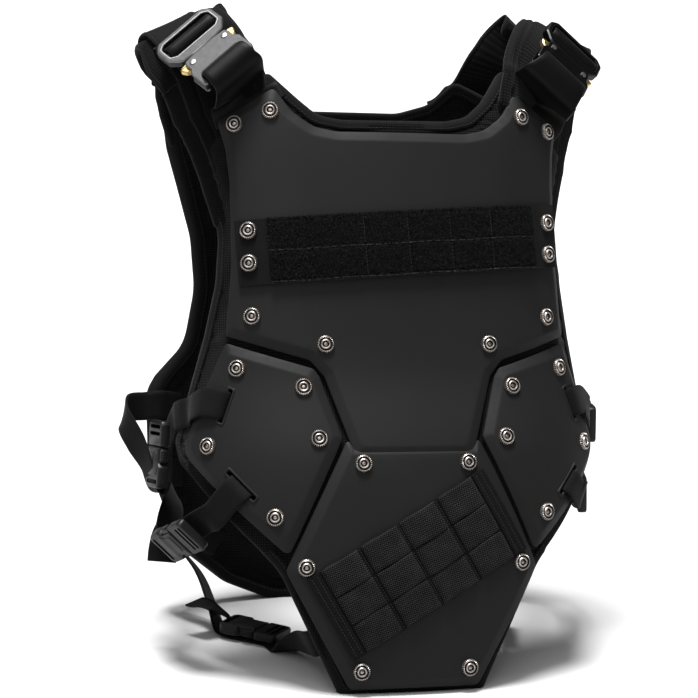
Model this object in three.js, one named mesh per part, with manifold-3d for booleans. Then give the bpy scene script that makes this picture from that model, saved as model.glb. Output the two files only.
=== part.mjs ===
// Padded carrier vest with moulded foam plates, standing on its front and back hems.
// Millimetres, +Z up. The front faces -Y and the left of the picture is -X.
// Everything is laid out in an upright vest frame, then the whole vest leans back onto its hems.
import * as THREE from 'three';
import { mergeVertices } from 'three/addons/utils/BufferGeometryUtils.js';
import Module from 'manifold-3d';

const wasm = await Module();
wasm.setup();

// Driving sizes
const LEAN = THREE.MathUtils.degToRad(12.5);
const FLOOR_AT_FRONT = -3.5;
const GAP = 0.4;
const FIELD_GAP = 1.1;
const PLATE_THICK = 6;
const PLATE_BEVEL = { deep: 3.2, wide: 8 };
const PANEL_FRONT = -10.8;
const PANEL_THICK = 11;
const PANEL_ROUND = { deep: 3.5, wide: 4 };
const WEBBING = { wide: 25, thick: 1.6 };
const SHOULDER_WEBBING = { wide: 48, thick: 2.4 };
const SHOULDER_PAD = { wide: 78, thick: 12, corner: 3 };
const SNAP = { radius: 7.5, ring: 5.6, height: 2.6, sides: 8 };
const CLIP = { wide: 33, long: 58, thick: 10, waist: 25, stand_off: 2.8 };
const SLOT = { wide: 7, upper: 31, lower: 34 };
const BUCKLE = { plate: 2, thick: 10, post: 2, hole: 2.6, post_u: 18, post_v: 8 };
const MERGE = 1e-3;

// Plan curves of the two panels: a wide middle arc that runs on into tighter side arcs.
const FRONT_PLAN = { flat: 85, middle_radius: 600, side_radius: 145 };
const BACK_PLAN = { flat: 110, middle_radius: 320, side_radius: 200 };

// Height of a station and the depth of the middle line there
const FRONT_PROFILE = [
  { z: -10, y: -12 },
  { z: 100, y: -21 },
  { z: 190, y: -19 },
  { z: 270, y: -1 },
  { z: 390, y: 8 },
  { z: 510, y: 24 },
  { z: 575, y: 45 },
];
const BACK_PROFILE = [
  { z: 40, y: 286, wrap: 1 },
  { z: 200, y: 270, wrap: 1 },
  { z: 350, y: 246, wrap: 1 },
  { z: 450, y: 222, wrap: 0.92 },
  { z: 520, y: 192, wrap: 0.8 },
  { z: 560, y: 168, wrap: 0.75 },
];

function finish(colour, roughness, metalness = 0) {
  return () => new THREE.MeshStandardMaterial({ color: colour, roughness, metalness });
}
const MESH_CLOTH = finish(0x1d1d1f, 0.95);
const FOAM = finish(0x2f3033, 0.6);
const WEB = finish(0x232326, 0.8);
const LOOP = finish(0x141415, 1);
const PEWTER = finish(0x9b958c, 0.4, 1);
const GUNMETAL = finish(0x6b6e72, 0.4, 1);
const GOLD = finish(0xd8b565, 0.35, 1);
const PLASTIC = finish(0x2b2d30, 0.45);

// Smooth value of one column of a table at height z
function column(rows, name) {
  const slope = (i) => {
    const a = rows[Math.max(i - 1, 0)];
    const b = rows[Math.min(i + 1, rows.length - 1)];
    return (b[name] - a[name]) / (b.z - a.z);
  };
  return (z) => {
    let i = rows.findIndex((row) => row.z > z) - 1;
    if (i === -2) i = rows.length - 2;
    if (i < 0) i = 0;
    const [a, b] = [rows[i], rows[i + 1]];
    const step = b.z - a.z;
    const t = THREE.MathUtils.clamp((z - a.z) / step, -0.5, 1.5);
    const value = (2 * t ** 3 - 3 * t ** 2 + 1) * a[name] + (3 * t ** 2 - 2 * t ** 3) * b[name];
    return value + step * ((t ** 3 - 2 * t ** 2 + t) * slope(i) + (t ** 3 - t ** 2) * slope(i + 1));
  };
}

// Place across a plan curve: sideways reach, set-back and turn at the distance s along it
function along(plan, s) {
  const side = Math.sign(s) || 1;
  const distance = Math.abs(s);
  const flatTurn = plan.flat / plan.middle_radius;
  if (distance <= plan.flat) {
    const turn = distance / plan.middle_radius;
    const reach = plan.middle_radius * Math.sin(turn);
    return { x: side * reach, set: plan.middle_radius * (1 - Math.cos(turn)), turn: side * turn };
  }
  const turn = flatTurn + (distance - plan.flat) / plan.side_radius;
  const reach = plan.middle_radius * Math.sin(flatTurn)
    + plan.side_radius * (Math.sin(turn) - Math.sin(flatTurn));
  const set = plan.middle_radius * (1 - Math.cos(flatTurn))
    + plan.side_radius * (Math.cos(flatTurn) - Math.cos(turn));
  return { x: side * reach, set, turn: side * turn };
}

const frontDepth = column(FRONT_PROFILE, 'y');
const backDepth = column(BACK_PROFILE, 'y');
const backWrap = column(BACK_PROFILE, 'wrap');

// Points of the front and back surfaces: s along the plan curve, z up, n out of the vest
const frontSlope = (z) => (frontDepth(z + 1) - frontDepth(z - 1)) / 2;
function front(s, z, n) {
  const { x, set, turn } = along(FRONT_PLAN, s);
  const out = new THREE.Vector3(Math.sin(turn), -Math.cos(turn), Math.cos(turn) * frontSlope(z));
  return new THREE.Vector3(x, frontDepth(z) + set, z).addScaledVector(out.normalize(), n).toArray();
}
function back(s, z, n) {
  const { x, set, turn } = along(BACK_PLAN, s);
  return [x + n * Math.sin(turn), backDepth(z) - backWrap(z) * set + n * Math.cos(turn), z];
}
// Direction in the front surface at a point, from steps along s and z
function frontWay(s, z, ds, dz) {
  const { turn } = along(FRONT_PLAN, s);
  return [ds * Math.cos(turn), ds * Math.sin(turn) + dz * frontSlope(z), dz];
}

// Closed geometry from triangles of points, facing out
function closedBody(triangles) {
  const positions = new Float32Array(triangles.flat(2));
  let geometry = new THREE.BufferGeometry();
  geometry.setAttribute('position', new THREE.BufferAttribute(positions, 3));
  geometry = mergeVertices(geometry, MERGE);
  const index = geometry.index.array;
  const kept = [];
  let volume = 0;
  const [a, b, c] = [new THREE.Vector3(), new THREE.Vector3(), new THREE.Vector3()];
  for (let i = 0; i < index.length; i += 3) {
    const [p, q, r] = [index[i], index[i + 1], index[i + 2]];
    if (p === q || q === r || r === p) continue;
    kept.push([p, q, r]);
    a.fromBufferAttribute(geometry.attributes.position, p);
    b.fromBufferAttribute(geometry.attributes.position, q);
    c.fromBufferAttribute(geometry.attributes.position, r);
    volume += a.dot(b.cross(c));
  }
  geometry.setIndex((volume > 0 ? kept : kept.map(([p, q, r]) => [p, r, q])).flat());
  return geometry;
}

function mirrored(geometry) {
  const copy = geometry.clone().scale(-1, 1, 1);
  const index = copy.index.array;
  for (let i = 0; i < index.length; i += 3) [index[i], index[i + 1]] = [index[i + 1], index[i]];
  return copy;
}

function toManifold(geometry) {
  let bare = geometry.clone();
  for (const name of Object.keys(bare.attributes)) {
    if (name !== 'position') bare.deleteAttribute(name);
  }
  bare = mergeVertices(bare, MERGE);
  const vertProperties = new Float32Array(bare.attributes.position.array);
  const triVerts = new Uint32Array(bare.index.array);
  return new wasm.Manifold(new wasm.Mesh({ numProp: 3, vertProperties, triVerts }));
}

function fromManifold(manifold) {
  const mesh = manifold.getMesh();
  const geometry = new THREE.BufferGeometry();
  geometry.setAttribute('position', new THREE.BufferAttribute(mesh.vertProperties, 3));
  geometry.setIndex(Array.from(mesh.triVerts));
  return geometry;
}

function toClosed(geometry) {
  return fromManifold(toManifold(geometry));
}
function union(...geometries) {
  return fromManifold(geometries.map(toManifold).reduce((sum, next) => sum.add(next)));
}

// Cut away what reaches below the floor plane that the leaning vest stands on
function onFloor(geometry) {
  const room = 2000;
  const under = new THREE.BoxGeometry(room, room, room);
  under.translate(0, 0, -room / 2);
  under.rotateX(LEAN);
  under.translate(0, 0, FLOOR_AT_FRONT);
  return fromManifold(toManifold(geometry).subtract(toManifold(under)));
}
const floorHeight = (y) => FLOOR_AT_FRONT + y * Math.tan(LEAN);

// Outline moved inwards by a distance, corner by corner
function inset(points, distance) {
  const count = points.length;
  const clockwise = THREE.ShapeUtils.isClockWise(points);
  const inward = (p, q) => {
    const edge = q.clone().sub(p).normalize();
    return clockwise ? new THREE.Vector2(edge.y, -edge.x) : new THREE.Vector2(-edge.y, edge.x);
  };
  return points.map((point, i) => {
    const before = inward(points[(i + count - 1) % count], point);
    const after = inward(point, points[(i + 1) % count]);
    const middle = before.clone().add(after);
    return point.clone().addScaledVector(middle, distance / (1 + before.dot(after)));
  });
}

// Loop of points turned the given way round
function wound(points, clockwise) {
  return THREE.ShapeUtils.isClockWise(points) === clockwise ? points : [...points].reverse();
}

// Flat layered solid: the outline at each layer's level and inset, with straight holes
function layered(outline, layers, holes = []) {
  const triangles = [];
  const rim = wound(outline, false);
  const bores = holes.map((hole) => wound(hole, true));
  const rings = layers.map(({ n, inward }) => [inset(rim, inward), ...bores]
    .map((ring) => ring.map((point) => [point.x, point.y, n])));
  for (let i = 0; i + 1 < rings.length; i += 1) {
    rings[i].forEach((lower, k) => {
      const upper = rings[i + 1][k];
      lower.forEach((point, j) => {
        const next = (j + 1) % lower.length;
        triangles.push([point, lower[next], upper[next]], [point, upper[next], upper[j]]);
      });
    });
  }
  const cap = (ring, flip) => {
    const flat = ring.map((loop) => loop.map(([x, y]) => new THREE.Vector2(x, y)));
    const points = ring.flat();
    for (const [p, q, r] of THREE.ShapeUtils.triangulateShape(flat[0], flat.slice(1))) {
      triangles.push(flip ? [points[p], points[r], points[q]] : [points[p], points[q], points[r]]);
    }
  };
  cap(rings[0], true);
  cap(rings[rings.length - 1], false);
  return triangles;
}

// Triangles cut along the planes where one coordinate has the given values
function slice(triangles, axis, values) {
  let pieces = triangles;
  for (const value of values) {
    const next = [];
    for (const triangle of pieces) {
      const side = triangle.map((point) => {
        const off = point[axis] - value;
        return Math.abs(off) < 1e-6 ? 0 : Math.sign(off);
      });
      if (!side.includes(1) || !side.includes(-1)) {
        next.push(triangle);
        continue;
      }
      const loops = { '1': [], '-1': [] };
      triangle.forEach((point, i) => {
        const j = (i + 1) % 3;
        for (const key of ['1', '-1']) {
          if (side[i] === 0 || side[i] === Number(key)) loops[key].push(point);
        }
        if (side[i] * side[j] === -1) {
          const [p, q] = side[i] < 0 ? [point, triangle[j]] : [triangle[j], point];
          const t = (value - p[axis]) / (q[axis] - p[axis]);
          const cut = p.map((number, k) => (k === axis ? value : number + t * (q[k] - number)));
          loops['1'].push(cut);
          loops['-1'].push(cut);
        }
      });
      for (const loop of Object.values(loops)) {
        for (let i = 1; i + 1 < loop.length; i += 1) next.push([loop[0], loop[i], loop[i + 1]]);
      }
    }
    pieces = next;
  }
  return pieces;
}

// Lines along which flat pieces are folded to follow the curved surfaces
const PLATE_FOLDS = {
  across: [-180, -148, -116, -85, -30, 30, 85, 116, 148, 180],
  up: [60, 130, 190, 230, 270, 310, 390],
};
const PANEL_FOLDS = { across: [-165, -125, -85, 0, 85, 125, 165], up: [120, 190, 270, 390] };
const BACK_FOLDS = { across: [-160, -110, 0, 110, 160], up: [200, 350, 430, 490] };

function bent(triangles, surface, folds = PLATE_FOLDS) {
  const cut = slice(slice(triangles, 0, folds.across), 1, folds.up);
  return closedBody(cut.map((triangle) => triangle.map((point) => surface(...point))));
}

const spots = (...pairs) => pairs.map(([x, y]) => new THREE.Vector2(x, y));
// Outline from the points of its right half, from top to bottom
function symmetric(...pairs) {
  const half = spots(...pairs);
  return [...half, ...half.map((point) => new THREE.Vector2(-point.x, point.y)).reverse()];
}

const PLATE_LAYERS = [
  { n: -PLATE_THICK, inward: 0 },
  { n: -PLATE_BEVEL.deep, inward: 0 },
  { n: 0, inward: PLATE_BEVEL.wide },
];
function panelLayers(outer) {
  return [
    { n: outer - PANEL_THICK, inward: PANEL_ROUND.wide },
    { n: outer - PANEL_THICK + PANEL_ROUND.deep, inward: 0 },
    { n: outer - PANEL_ROUND.deep, inward: 0 },
    { n: outer, inward: PANEL_ROUND.wide },
  ];
}

// Flat rectangle turned in its plane
function turnedBox(middle, long, wide, degrees) {
  const turn = THREE.MathUtils.degToRad(degrees);
  return spots([-1, -1], [1, -1], [1, 1], [-1, 1]).map((corner) => new THREE.Vector2(
    corner.x * long / 2,
    corner.y * wide / 2,
  ).rotateAround(new THREE.Vector2(), turn).add(new THREE.Vector2(...middle)));
}

// Solid of one section swept through rows of centre points and width directions
function swept(rows, section, stepsPerRow = 3) {
  const { frameAt } = sweep(rows);
  const steps = (rows.length - 1) * stepsPerRow;
  const rings = [];
  for (let i = 0; i <= steps; i += 1) {
    const { centre, wide, normal } = frameAt(i / steps);
    rings.push(section.map(([a, b]) => centre.clone()
      .addScaledVector(wide, a).addScaledVector(normal, b).toArray()));
  }
  const triangles = [];
  for (let i = 0; i < steps; i += 1) {
    rings[i].forEach((point, j) => {
      const next = (j + 1) % section.length;
      triangles.push([point, rings[i][next], rings[i + 1][next]]);
      triangles.push([point, rings[i + 1][next], rings[i + 1][j]]);
    });
  }
  const faces = THREE.ShapeUtils.triangulateShape(spots(...section), []);
  for (const [p, q, r] of faces) {
    triangles.push([rings[0][r], rings[0][q], rings[0][p]]);
    triangles.push([rings[steps][p], rings[steps][q], rings[steps][r]]);
  }
  return closedBody(triangles);
}

// Moving frame of a strap: its centre, width, run and outward normal
function sweep(rows) {
  const centres = new THREE.CatmullRomCurve3(rows.map((row) => new THREE.Vector3(...row.at)));
  const widths = new THREE.CatmullRomCurve3(rows.map((row) => new THREE.Vector3(...row.wide)));
  const frameAt = (t) => {
    const centre = centres.getPoint(t);
    const run = centres.getTangent(t);
    const wide = widths.getPoint(t);
    wide.addScaledVector(run, -wide.dot(run)).normalize();
    return { centre, wide, run, normal: wide.clone().cross(run) };
  };
  return { frameAt };
}
const flatSection = ({ wide, thick }) => [
  [-wide / 2, -thick / 2], [wide / 2, -thick / 2], [wide / 2, thick / 2], [-wide / 2, thick / 2],
];

const vest = new THREE.Group();
function add(name, geometry, material, parent = vest) {
  const mesh = new THREE.Mesh(geometry, material());
  mesh.name = name;
  parent.add(mesh);
  return mesh;
}

// Padded panels
const frontOutline = symmetric(
  [50, 484], [72, 488], [89, 502], [102, 527],
  [192, 480], [180, 445], [179, 360], [188, 296],
  [232, 208], [226, 191], [120, 102], [63, -8],
);
const frontPad = bent(layered(frontOutline, panelLayers(PANEL_FRONT)), front, PANEL_FOLDS);
add('front_panel', onFloor(frontPad), MESH_CLOTH);

const backOutline = symmetric(
  [46, 507], [76, 515], [96, 534],
  [214, 500], [198, 470], [176, 436], [156, 392], [149, 345], [160, 294], [200, 266],
  [214, 252], [208, 187], [160, 108], [108, 74], [60, 56],
);
const backPad = bent(layered(backOutline, panelLayers(0)), back, BACK_FOLDS);
add('back_panel', onFloor(backPad), MESH_CLOTH);

// Moulded plates
const chestOutline = symmetric(
  [57, 472], [77, 476], [95, 489], [110, 510],
  [163, 481], [156, 458], [153, 430], [153, 360], [160, 298],
  [86, 277], [74, 263], [53, 199],
);
add('chest_plate', bent(layered(chestOutline, PLATE_LAYERS), front), FOAM);

const flankOutline = spots([160, 292], [83, 270], [78, 263], [62, 212], [110, 113], [212, 200]);
const UPPER_SLOT = { middle: [161, 238.5], degrees: -66 };
const LOWER_SLOT = { middle: [150, 172.5], degrees: 44 };
const flankSlots = [
  turnedBox(UPPER_SLOT.middle, SLOT.upper, SLOT.wide, UPPER_SLOT.degrees),
  turnedBox(LOWER_SLOT.middle, SLOT.lower, SLOT.wide, LOWER_SLOT.degrees),
];
const flank = bent(layered(flankOutline, PLATE_LAYERS, flankSlots), front);
add('flank_plate_right', flank, FOAM);
add('flank_plate_left', mirrored(flank), FOAM);

const bellyOutline = symmetric([53.8, 197.8], [58.4, 210.5], [113, 101], [57, 0]);
const BELLY_FACE = -1;
const BELLY_LAYERS = [
  { n: -PLATE_THICK, inward: 0 },
  { n: -PLATE_BEVEL.deep, inward: 0 },
  { n: BELLY_FACE, inward: PLATE_BEVEL.wide },
];
add('belly_plate', bent(layered(bellyOutline, BELLY_LAYERS), front), FOAM);

// Sewn fields on the plates
const LOOP_FIELD = { middle: [0, 376], long: 292, wide: 55, degrees: 1.8, thick: 2 };
const loopBox = turnedBox(LOOP_FIELD.middle, LOOP_FIELD.long, LOOP_FIELD.wide, LOOP_FIELD.degrees);
add('loop_panel', bent(layered(loopBox, [
  { n: FIELD_GAP, inward: 0 },
  { n: FIELD_GAP + LOOP_FIELD.thick, inward: 0.5 },
]), front), LOOP);

const GRID_FIELD = { middle: [1.5, 104.9], long: 178, wide: 80, degrees: 30.5, thick: 3 };
const gridBox = turnedBox(GRID_FIELD.middle, GRID_FIELD.long, GRID_FIELD.wide, GRID_FIELD.degrees);
add('webbing_grid', bent(layered(gridBox, [
  { n: BELLY_FACE + FIELD_GAP, inward: 0 },
  { n: BELLY_FACE + FIELD_GAP + GRID_FIELD.thick, inward: 1 },
]), front), WEB);

const LOOP_FACE = FIELD_GAP + LOOP_FIELD.thick;
// Ring snaps of the right half: place on the front surface and the height of what they sit on
const SNAPS = [
  { s: 145, z: 478, on: 0 },
  { s: 113.5, z: 489, on: 0 },
  { s: 135, z: 391, on: LOOP_FACE },
  { s: 135, z: 363.5, on: LOOP_FACE },
  { s: 134, z: 314, on: 0 },
  { s: 72.5, z: 290, on: 0 },
  { s: 148.5, z: 270, on: 0 },
  { s: 92.5, z: 254, on: 0 },
  { s: 82.5, z: 211, on: 0 },
  { s: 180, z: 205, on: 0 },
  { s: 121, z: 146, on: 0 },
  { s: 46, z: 190, on: BELLY_FACE },
  { s: 95, z: 104, on: BELLY_FACE },
  { s: 47.5, z: 16, on: BELLY_FACE },
];
const LOOP_SNAP_RISE = 5;
function snapShape() {
  const { radius, ring, height, sides } = SNAP;
  const profile = spots([0, 0], [radius, 0], [radius, height / 2], [ring, height], [0, height]);
  const geometry = new THREE.LatheGeometry(profile, sides);
  geometry.deleteAttribute('normal');
  geometry.deleteAttribute('uv');
  const triangles = [];
  const bare = geometry.toNonIndexed().attributes.position;
  for (let i = 0; i < bare.count; i += 3) {
    triangles.push([0, 1, 2].map((k) => [bare.getX(i + k), bare.getY(i + k), bare.getZ(i + k)]));
  }
  return closedBody(triangles);
}
const snapGeometry = snapShape();
let snapCount = 0;
for (const side of [-1, 1]) {
  for (const { s, z, on } of SNAPS) {
    const height = on === LOOP_FACE ? z + side * LOOP_SNAP_RISE : z;
    const base = new THREE.Vector3(...front(side * s, height, on + FIELD_GAP));
    const above = new THREE.Vector3(...front(side * s, height, on + FIELD_GAP + 1));
    snapCount += 1;
    const snap = add(`snap_${String(snapCount).padStart(2, '0')}`, snapGeometry.clone(), PEWTER);
    snap.position.copy(base);
    snap.quaternion.setFromUnitVectors(new THREE.Vector3(0, 1, 0), above.sub(base).normalize());
  }
}

// Padded shoulder straps: middle line of the pad from the front panel to the back panel
const SHOULDER_ROWS = [
  { at: [138, 65, 518], wide: [0.8, 0.28, -0.53] },
  { at: [153, 70, 536], wide: [0.79, 0.15, -0.6] },
  { at: [168, 87, 556], wide: [0.81, 0.05, -0.58] },
  { at: [177, 109, 568], wide: [0.88, 0, -0.46] },
  { at: [178, 130, 561], wide: [0.92, -0.15, -0.35] },
  { at: back(176, 540, -5.5), wide: [0.85, -0.42, -0.3] },
  { at: back(176, 517, -5.5), wide: [0.82, -0.48, -0.29] },
];
function padSection() {
  const { wide, thick, corner } = SHOULDER_PAD;
  const [half, low, high] = [wide / 2, -thick / 2, thick / 2];
  const web = SHOULDER_WEBBING.wide / 2;
  const ridge = high + SHOULDER_WEBBING.thick;
  return [
    [-half, low + corner], [-half + corner, low], [half - corner, low], [half, low + corner],
    [half, high - corner], [half - corner, high], [web, high], [web, ridge],
    [-web, ridge], [-web, high], [-half + corner, high], [-half, high - corner],
  ];
}
// Shoulder buckle in its own frame: u across, v up the strap, w out of the strap
const BUCKLE_CENTRE = new THREE.Vector3(154.4, 49.1, 532.1);
const BUCKLE_RUN = new THREE.Vector3(0.5, 0.66, 0.56);
const BUCKLE_ACROSS = new THREE.Vector3(0.754, -0.015, -0.656);
function buckleBasis(side) {
  const v = BUCKLE_RUN.clone().normalize();
  const u = BUCKLE_ACROSS.clone().addScaledVector(v, -BUCKLE_ACROSS.dot(v)).normalize();
  const w = u.clone().cross(v);
  if (side < 0) {
    [u, v, w].forEach((axis) => { axis.x *= -1; });
    u.negate();
  }
  return { u, v, w };
}
function inBuckle(u, v, w) {
  const basis = buckleBasis(1);
  return BUCKLE_CENTRE.clone().addScaledVector(basis.u, u).addScaledVector(basis.v, v)
    .addScaledVector(basis.w, w).toArray();
}
const strapAcross = BUCKLE_ACROSS.toArray();

// Sewn webbing of the shoulder strap, looped through the slot of the buckle's frame
const LOOP_WEBBING = { wide: 46, thick: 1.4 };
const LOOP_ROWS = [
  { v: 55, w: -9 }, { v: 54, w: 0 }, { v: 50, w: 8 }, { v: 45.5, w: 11.2 },
  { v: 38, w: 11.2 }, { v: 32.5, w: 7.5 }, { v: 31.5, w: 0 }, { v: 31.5, w: -9 },
].map(({ v, w }) => ({ at: inBuckle(0, v, w), wide: strapAcross }));
const shoulder = union(
  swept(SHOULDER_ROWS, padSection(), 2),
  swept(LOOP_ROWS, flatSection(LOOP_WEBBING), 1),
);
add('shoulder_strap_right', shoulder, MESH_CLOTH);
add('shoulder_strap_left', mirrored(shoulder), MESH_CLOTH);

function extruded(outline, low, high, holes = []) {
  const shape = new THREE.Shape(outline);
  holes.forEach((hole) => shape.holes.push(new THREE.Path(hole)));
  const geometry = new THREE.ExtrudeGeometry(shape, { depth: high - low, bevelEnabled: false });
  return geometry.translate(0, 0, low);
}
function disc(u, v, radius, sides = 8) {
  return Array.from({ length: sides }, (_, i) => new THREE.Vector2(radius, 0)
    .rotateAround(new THREE.Vector2(), (2 * Math.PI * i) / sides).add(new THREE.Vector2(u, v)));
}
const evenSided = (half) => [...half, ...half.map((p) => new THREE.Vector2(-p.x, p.y)).reverse()];

function buckleBody() {
  const { plate, thick, post, post_u: pu, post_v: pv } = BUCKLE;
  const face = evenSided(spots([20, -7], [21, 2], [24, 5], [23, 13], [11, 14]));
  const arms = [-1, 1].map((side) => new THREE.BoxGeometry(5, 18, thick - 2)
    .translate(side * 25, -11.5, thick / 2));
  const bar = new THREE.BoxGeometry(49, 5, 4).translate(0, -17, thick / 2);
  const spine = new THREE.BoxGeometry(46, 4, thick).translate(0, -5, thick / 2);
  const posts = [-1, 1].map((side) => extruded(disc(side * pu, pv, post), -0.6, thick + 0.6));
  return union(
    extruded(face, 0, plate),
    extruded(face, thick - plate, thick),
    spine,
    bar,
    ...arms,
    ...posts,
  );
}
function buckleFrame() {
  const { plate, thick } = BUCKLE;
  const ring = evenSided(spots([12, 15], [22, 16], [30, 24], [30, 40], [26, 45]));
  const slot = evenSided(spots([24.5, 25], [24.5, 37]));
  const tongue = new THREE.BoxGeometry(20, 18, thick - 2 * plate - 1.2).translate(0, 8, thick / 2);
  return union(extruded(ring, 1, thick - 1, [slot]), tongue);
}
function buckleLever(side) {
  const { plate, thick, hole, post_u: pu, post_v: pv } = BUCKLE;
  const fin = spots([11.5, 4], [14, 1.5], [23, 2], [28, 6], [31, 12.5], [24, 13.5], [14, 13]);
  const outline = side > 0 ? fin : fin.map((p) => new THREE.Vector2(-p.x, p.y)).reverse();
  return extruded(outline, plate + GAP, thick - plate - GAP, [disc(side * pu, pv, hole)]);
}
for (const [word, side] of [['right', 1], ['left', -1]]) {
  const { u, v, w } = buckleBasis(side);
  const group = new THREE.Group();
  group.quaternion.setFromRotationMatrix(new THREE.Matrix4().makeBasis(u, v, w));
  group.position.copy(BUCKLE_CENTRE);
  group.position.x *= side;
  vest.add(group);
  add(`buckle_body_${word}`, buckleBody(), GUNMETAL, group);
  add(`buckle_frame_${word}`, buckleFrame(), GUNMETAL, group);
  add(`buckle_lever_${word}_outer`, buckleLever(side), GOLD, group);
  add(`buckle_lever_${word}_inner`, buckleLever(-side), GOLD, group);
}

// Front strap: from under the chest plate over the buckle's bar and into its slot
const FRONT_STRAP_ROWS = [
  { at: front(132, 487, -8.85), wide: frontWay(132, 487, 0.88, -0.48) },
  { at: front(137, 497, -8.55), wide: frontWay(137, 497, 0.88, -0.48) },
  { at: front(142, 508, -5), wide: strapAcross },
  { at: inBuckle(0, -25, 3), wide: strapAcross },
  { at: inBuckle(0, -21, 8.2), wide: strapAcross },
  { at: inBuckle(0, -12.5, 8.4), wide: strapAcross },
  { at: inBuckle(0, -11, 3.5), wide: strapAcross },
];
const FRONT_STRAP = { wide: 41, thick: 1.6 };
const frontStrap = swept(FRONT_STRAP_ROWS, flatSection(FRONT_STRAP), 2);
add('front_strap_right', frontStrap, WEB);
add('front_strap_left', mirrored(frontStrap), WEB);

// Side straps: each comes out of its slot or hem, passes its clip and ends on the back panel
const slotWay = (slot, degrees = slot.degrees) => {
  const turn = THREE.MathUtils.degToRad(degrees);
  return frontWay(...slot.middle, Math.cos(turn), Math.sin(turn));
};
const onSlot = (slot, ds, dz, n) => front(slot.middle[0] + ds, slot.middle[1] + dz, n);
const DOWN = [0, 0, -1];
const UP = [0, 0, 1];
const UPPER_START = [
  { at: onSlot(UPPER_SLOT, 0, 0, -5), wide: slotWay(UPPER_SLOT) },
  { at: onSlot(UPPER_SLOT, 0.3, 0.1, -1), wide: slotWay(UPPER_SLOT) },
  { at: onSlot(UPPER_SLOT, 5, 1.5, 3), wide: slotWay(UPPER_SLOT) },
  { at: onSlot(UPPER_SLOT, 20, 3, 3.6), wide: slotWay(UPPER_SLOT) },
];
const LOWER_START = [
  { at: onSlot(LOWER_SLOT, 0, 0, -5), wide: slotWay(LOWER_SLOT, -136) },
  { at: onSlot(LOWER_SLOT, 0.2, -0.2, -1), wide: slotWay(LOWER_SLOT, -136) },
  { at: onSlot(LOWER_SLOT, 4, -4, 2.6), wide: slotWay(LOWER_SLOT, -136) },
  { at: onSlot(LOWER_SLOT, 13, -13, 2.8), wide: slotWay(LOWER_SLOT, -136) },
  { at: onSlot(LOWER_SLOT, 27, -26, 0), wide: slotWay(LOWER_SLOT, -130) },
];
const HEM_DOWN = [-0.45, 0.1, -0.89];
const HEM_UP = [0.45, -0.1, 0.89];
const LYING_CLIP = [-0.72, 0.02, -0.69];
const EDGE_ON = [-0.15, -0.99, 0];
const lying = (x, y, lift) => [x, y, floorHeight(y) + lift];
const floorWay = (x, y) => [x, y, y * Math.tan(LEAN)];

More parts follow.
